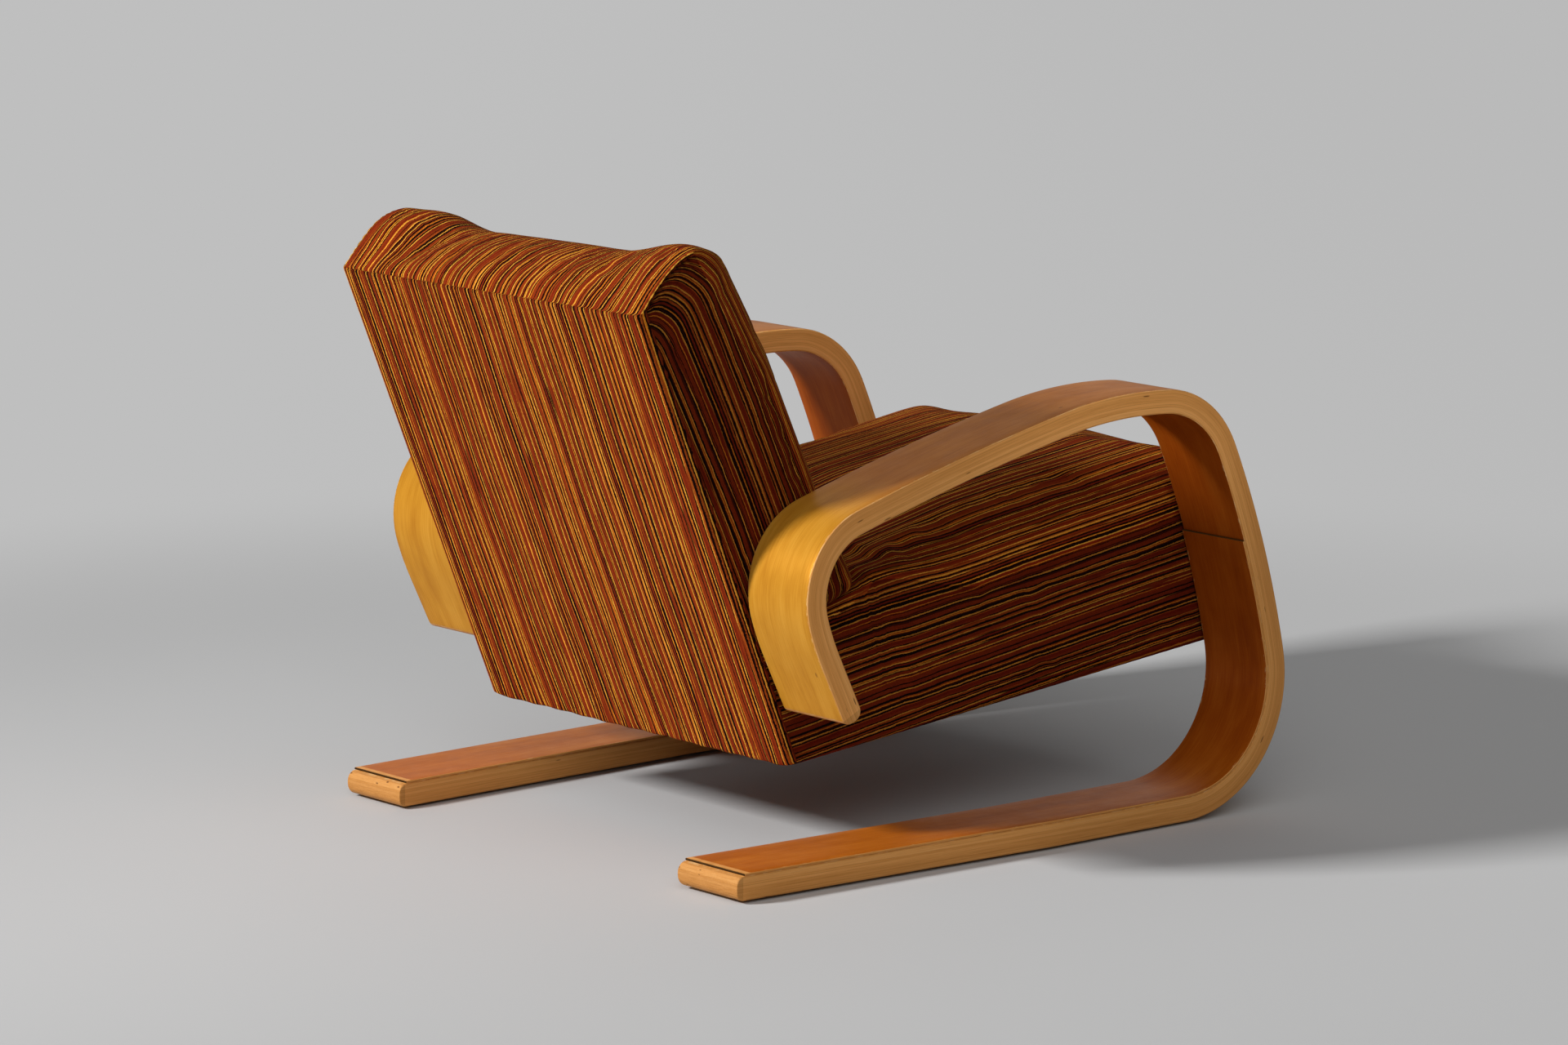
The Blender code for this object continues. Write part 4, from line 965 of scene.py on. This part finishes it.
def top_sink(across, rise, along):
    """How far the top sags: lower in its middle and in one hollow, higher at the shoulders."""
    outer = ease(np.abs(across), 0.170, 0.245)
    sink = TOP_FALL + TOP_TILT * across + TOP_HOLLOW * bell(across - TOP_HOLLOW_PLACE, TOP_HOLLOW_WIDTH)
    sink *= ease(rise, 0.004, 0.045) * (1 - outer) + ease(rise, 0.045, 0.095) * outer
    sink -= outer * SHOULDER_LIFT * np.sin(pi * np.clip(rise / SHOULDER_LENGTH, 0, 1))
    sink += CORNER_FALL * ease(rise, 0.090, 0.135) * ease(np.abs(across), 0.200, 0.262)
    return sink * ease(along, 0.490, 0.555)


def back_finish(mesh, origin, turn):
    """The gathered seam along the side's upper edge, soft waves, and the sag of top and rear."""
    points, normals, across, rise, along = surface(mesh, origin, turn)
    place = np.empty(points.size, dtype=np.float32)
    mesh.attributes["seam"].data.foreach_get("vector", place)
    below, fall = place.reshape(-1, 3)[:, 0].astype(float), place.reshape(-1, 3)[:, 1].astype(float)
    side = np.sign(across)
    sides = ease(np.abs(normals[:, 0]), 0.5, 0.85)
    on_seam = ease(fall, -0.002, 0.006) * ease(along, 0.4, 0.48)
    on_seam *= ease(np.abs(across), BODY_HALF - 0.03, BODY_HALF - 0.012)
    groove = bell(below, GROOVE_WIDTH) * on_seam
    # pleats hang from the seam, fade below it and reach a little over it
    nothing = 0 * fall
    uneven = waves(np.stack([fall, side * 0.5, nothing], 1), 8, height=0.30, length=0.03)
    phase = fall / PLEAT_PITCH + uneven + below * PLEAT_LEAN
    pleat = np.abs(np.sin(pi * phase)) ** 0.7
    reach = np.where(below > 0, np.exp(-np.maximum(below, 0) / PLEAT_REACH), bell(below, OVER_SEAM))
    strength = reach * on_seam * (0.85 + waves(np.stack([fall, side, nothing], 1), 9, height=0.25, length=0.02))
    height = PLEAT_HEIGHT * (pleat - 0.55) * strength - GROOVE_DEPTH * groove
    height += BEAD_HEIGHT * bell(below - BEAD_PLACE, BEAD_WIDTH) * on_seam
    # painted shade in the seam's groove and in the valleys between the pleats, stored for the cloth's colour
    shade = np.clip(0.75 * groove + 0.9 * (1 - pleat) * strength * ease(below, -0.004, 0.001), 0, 1)
    add_attribute(mesh, "crease_shade", "FLOAT", "POINT", shade)
    free = ease(rise, 0.014, 0.035) * ease(along, BACK_BOTTOM + 0.01, BACK_BOTTOM + 0.05)
    wave = waves(points * np.array([1.0, 1.0, 0.5]), 13, height=0.0006, length=0.07)
    crown = waves(points, 14, height=0.0006, length=0.12)
    height += free * (wave * sides + crown * (1 - sides))
    shift = rear_shift(across, along) * (1 - ease(rise, 0.0, 0.060))
    moved = np.stack([nothing, shift, -top_sink(across, rise, along)], 1)
    write_points(mesh, points + normals * height[:, None] + moved @ turn.T, SIDE_SWELL + 0.0008)


cushion_piece(
    "seat_cushion", seat_form, SEAT_FRAME, 0.31, ["seat_cover", "seat_pad", "seat_deck_cloth"],
    seat_held, 0.006, seat_finish,
)
cushion_piece(
    "back_cushion", back_form, BACK_FRAME, 0.0,
    ["back_cover", "back_pad"] + ["back_strap_" + str(number) for number in (1, 2, 3, 4)],
    back_held, 0.005, back_finish,
)


# ---------------------------------------------------------------- outer back
PANEL_FOLD = 0.003
PANEL_GAP = 0.0003
PANEL_WALL = 0.0012
PANEL_WRAP = 0.0022
PANEL_SWELL = 0.0035
PANEL_LOW, PANEL_HIGH = 0.0008, BACK_TOP - 0.0004
PANEL_STRIPES = (0.137, 0.2)  # where the panel lies on its cloth
TUCK_DEPTH, TUCK_RUN = 0.0014, 0.0035  # how the ends are turned in
SIDE_TUCK_DEPTH = 0.0013
PUCKER_PULL, PUCKER_HEIGHT = 0.0010, 0.0005
RIPPLE_PITCH, RIPPLE_HEIGHT = 0.19, 0.0004
SCALLOP_PITCH, SCALLOP_HEIGHT, SCALLOP_REACH = 0.043, 0.0007, 0.010
# widths of the painted shade along the outer back's seams
RUCK_PITCH, RUCK_SHADE = 0.0085, 0.0040
TOP_SEAM_SHADE, SIDE_SEAM_SHADE = 0.0016, 0.0009


def panel_section(distance, out):
    """Place of a point of the rear cloth, out from the cushion, at a distance from its middle."""
    centre = BODY_HALF - PANEL_FOLD
    radius = PANEL_FOLD + out
    over = distance - centre
    if over <= 0:
        return distance, -out
    bend = radius * pi / 2
    if over <= bend:
        angle = over / radius
        return centre + radius * sin(angle), PANEL_FOLD - radius * cos(angle)
    return centre + radius, PANEL_FOLD + over - bend


def rear_panel():
    """The outer back: a cloth stretched over the rear and turned round both corners."""
    centre = BODY_HALF - PANEL_FOLD
    bend = (PANEL_FOLD + PANEL_GAP + PANEL_WALL) * pi / 2
    # each line is its share of the flat part, of the fold and of the wrap beyond it
    turned = [(1.0, place, 0.0) for place in spread(0.0, 1.0, 10)[1:]]
    turned += [(1.0, 1.0, place) for place in spread(0.0, 1.0, 6)[1:]]
    lines = [(-flat, bent, wrap) for flat, bent, wrap in turned[::-1]]
    lines += [(place, 0.0, 0.0) for place in spread(-1.0, 1.0, 84)] + turned
    shares = [0, 0.003, 0.007, 0.013] + spread(0.02, 0.985, 150) + [0.99, 0.994, 0.9975, 1.0]
    rows = [PANEL_LOW + (PANEL_HIGH - PANEL_LOW) * share for share in shares]
    draw = random.Random(5)
    puckers = [(draw.uniform(0, 6.28), draw.uniform(0.012, 0.03), draw.uniform(0.2, 0.6)) for number in range(7)]
    points, cloth, creases = [], [], []
    for layer_out in (PANEL_GAP, PANEL_GAP + PANEL_WALL):
        for along in rows:
            pucker = sum(weight * sin(2 * pi * along / pitch + phase) for phase, pitch, weight in puckers)
            edge = min(along - PANEL_LOW, PANEL_HIGH - along)
            tuck_end = TUCK_DEPTH * (1 - sqrt(1 - (1 - min(1.0, edge / TUCK_RUN)) ** 2))
            rise_share = sin(pi * along / BACK_TOP)
            foot = exp(-(along / SCALLOP_REACH) ** 2)
            for flat, bent, wrap in lines:
                distance = abs(flat) * centre + bent * bend + wrap * (PANEL_WRAP + PUCKER_PULL * pucker)
                side = copysign(1.0, flat) if flat else 0.0
                swell = PANEL_SWELL * rise_share * cos(pi / 2 * min(1.0, abs(flat)))
                ripple = RIPPLE_HEIGHT * sin(2 * pi * along / RIPPLE_PITCH + 9 * flat) * (1 - abs(flat) ** 4)
                tuck_side = SIDE_TUCK_DEPTH * float(ease(wrap, 0.35, 1.0))
                scallop = SCALLOP_HEIGHT * foot * sin(2 * pi * flat * centre / SCALLOP_PITCH) * (1 - bent)
                out = layer_out - tuck_side - tuck_end + swell + ripple + scallop
                if bent >= 1.0 and wrap > 0.2:
                    out += PUCKER_HEIGHT * pucker * wrap
                x, rise = panel_section(distance, out)
                # the cloth follows the cushion's rear face
                points.append((side * x, float(rear_shift(x, along)) - rise, along))
                # painted shade along the top seam, uneven where the cloth rucks, and along the side seams
                ruck = 0.5 + 0.5 * sin(2 * pi * distance / RUCK_PITCH + 3 * pucker)
                top_seam = exp(-((PANEL_HIGH - along) / (TOP_SEAM_SHADE + RUCK_SHADE * ruck ** 2)) ** 2)
                side_seam = exp(-((1 - wrap) * PANEL_WRAP / SIDE_SEAM_SHADE) ** 2)
                creases.append(min(1.0, 0.40 * top_seam + 0.7 * side_seam))
                cloth.append((side * distance + PANEL_STRIPES[0], along + PANEL_STRIPES[1], OUTER_BACK))
    faces = sheet_faces(len(rows), len(lines))
    corners = [cloth[corner] for face in faces for corner in face]
    piece = new_piece(
        "outer_back", points, faces, [CLOTH], BACK_FRAME, {"cloth": corners}, smooth=60)
    add_attribute(piece.data, "crease_shade", "FLOAT", "POINT", creases)
    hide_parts("back_rear_panel")


rear_panel()


# ---------------------------------------------------------------- dust cloth
DUST_MARGIN = 0.006
DUST_LOW, DUST_HIGH, DUST_END_RISE = 0.0022, 0.0034, 0.0025
DUST_ROWS, DUST_COLUMNS = 24, 20


def dust_cloth():
    """A thin flat cloth just inside the underside of the seat."""
    half = BODY_HALF - DUST_MARGIN
    ends = [seat_place(0.0, along, DUST_END_RISE)[1] for along in (DUST_MARGIN, SEAT_DEPTH - DUST_MARGIN)]
    points = [
        (across, along, rise) for rise in (DUST_LOW, DUST_HIGH)
        for along in spread(*ends, DUST_ROWS) for across in spread(-half, half, DUST_COLUMNS)
    ]
    faces = sheet_faces(DUST_ROWS + 1, DUST_COLUMNS + 1)
    material = plain_material("black_cambric", (26, 25, 26), (44, 42, 42), 900, 0.95)
    piece = new_piece("dust_cloth", points, faces, [material], SEAT_FRAME)
    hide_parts("seat_dust_cloth")


dust_cloth()


# ---------------------------------------------------------------- stage, lights and camera
FLOOR_HALF = 30
NEAR_LIGHT, NEAR_DARK = srgb(191, 191, 191), srgb(189, 189, 189)
FAR_LIGHT, FAR_DARK = srgb(191, 191, 191), srgb(186, 186, 186)
LIT_REACH, EVEN_REACH = 1.15, 2.30
PICTURE_RIGHT = (-0.64, -0.768)
# painted light: how the floor's colour is scaled across the view
PAINTED_LIGHT_SLOPE, PAINTED_LIGHT_MIDDLE = 0.093, 1.005
PAINTED_LIGHT_LEAST, PAINTED_LIGHT_MOST = 0.92, 1.12


def stage_material():
    """Pale floor: only lit near the chair, its colour brightened towards the right of the view as painted light, and
    fading into a glowing, even ground some way off, painted a little darker towards the right.
    """
    build = Nodes("pale_floor", Specular_IOR_Level=0.1, Roughness=0.9)
    place = build.object_place()
    x, y, z = build.split(place)
    sideways = x * PICTURE_RIGHT[0] + y * PICTURE_RIGHT[1]
    # painted light: the floor's colour is scaled up towards the right of the view and down towards its left
    tone = build.value(
        "ShaderNodeClamp", Value=sideways * PAINTED_LIGHT_SLOPE + PAINTED_LIGHT_MIDDLE, Min=PAINTED_LIGHT_LEAST, Max=PAINTED_LIGHT_MOST)
    grain = build.ramp(build.noise(place, (900, 900, 900)), [(0.3, NEAR_DARK), (0.7, NEAR_LIGHT)])
    build.give(build.shader, Base_Color=build.scaled(grain, tone))
    path = build.add("ShaderNodeLightPath")
    camera, glossy, clear = [
        Value(build, path.outputs[name]) for name in ("Is Camera Ray", "Is Glossy Ray", "Is Transmission Ray")
    ]
    away = build.value("ShaderNodeVectorMath", {"operation": "DISTANCE"}, "Value", i0=place, i1=CHAIR_MIDDLE)
    share = build.step(away, LIT_REACH, EVEN_REACH) * build.math("MINIMUM", camera + glossy + clear, 1.0)
    # the far ground glows, with painted shade a little darker towards the right of the view
    ground = build.value("ShaderNodeEmission", Color=build.mix(build.step(sideways, -1.2, 1.6), FAR_LIGHT, FAR_DARK))
    lit = Value(build, build.shader.outputs[0])
    surface = build.value("ShaderNodeMixShader", i0=share, i1=lit, i2=ground)
    build.give(build.tree.nodes["Material Output"], Surface=surface)
    return build.material


floor_mesh = bpy.data.meshes.new("floor")
floor_mesh.from_pydata(
    [(x * FLOOR_HALF, y * FLOOR_HALF, 0) for x, y in ((-1, -1), (1, -1), (1, 1), (-1, 1))], [], [(0, 1, 2, 3)])
floor_mesh.materials.append(stage_material())
floor = bpy.data.objects.new("floor", floor_mesh)
bpy.context.collection.objects.link(floor)

scene.world = bpy.data.worlds.new("studio")
scene.world.use_nodes = True
background = scene.world.node_tree.nodes["Background"]
background.inputs["Color"].default_value = (1, 1, 1, 1)
background.inputs["Strength"].default_value = 0.04


def aim(lamp, azimuth, elevation, distance=0.0):
    """Aim a lamp at the chair. Azimuth is counted from +Y towards +X, in degrees."""
    azimuth, elevation = radians(azimuth), radians(elevation)
    level = cos(elevation)
    towards = Vector((sin(azimuth) * level, cos(azimuth) * level, sin(elevation)))
    item = bpy.data.objects.new(lamp.name, lamp)
    bpy.context.collection.objects.link(item)
    item.location = CHAIR_MIDDLE + towards * distance
    item.rotation_euler = towards.to_track_quat("Z", "Y").to_euler()
    return item


def softbox(name, azimuth, elevation, ground_distance, width, height, power):
    """Soft lamp on a stand. Its light keeps its strength over the whole evenly lit floor."""
    lamp = bpy.data.lights.new(name, "AREA")
    lamp.shape, lamp.size, lamp.size_y = "RECTANGLE", width, height
    lamp.energy = power
    lamp.use_nodes = True
    tree = lamp.node_tree
    falloff = tree.nodes.new("ShaderNodeLightFalloff")
    falloff.inputs["Strength"].default_value = 1.0
    tree.links.new(falloff.outputs["Constant"], tree.nodes["Emission"].inputs["Strength"])
    item = aim(lamp, azimuth, elevation, ground_distance / cos(radians(elevation)))
    item.visible_camera = False


softbox("key", azimuth=14.5, elevation=32.3, ground_distance=2.4, width=0.44, height=0.42, power=11.7)
for name, azimuth, elevation, strength, angle in (
        ("fill", -60, 55, 0.74, 60), ("side_fill", -50, 25, 0.46, 30), ("front_fill", 120, 30, 0.39, 60)):
    lamp = bpy.data.lights.new(name, "SUN")
    lamp.energy, lamp.angle = strength, radians(angle)
    aim(lamp, azimuth, elevation)

PHOTO_WIDTH = 1920
FOCAL_PIXELS = 7354.18
CAMERA_PLACE = Vector((-5.1001, 3.8948 + Y_SHIFT, 1.4609))
CAMERA_AZIMUTH = radians(129.802)
CAMERA_PITCH = radians(9.727)

camera_data = bpy.data.cameras.new("camera")
camera_data.sensor_width = 36.0
camera_data.lens = camera_data.sensor_width * FOCAL_PIXELS / PHOTO_WIDTH
camera_data.clip_end = 100
camera = bpy.data.objects.new("camera", camera_data)
bpy.context.collection.objects.link(camera)
camera.location = CAMERA_PLACE
camera.rotation_euler = (pi / 2 - CAMERA_PITCH, 0, -CAMERA_AZIMUTH)
scene.camera = camera
scene.view_settings.view_transform = "Standard"
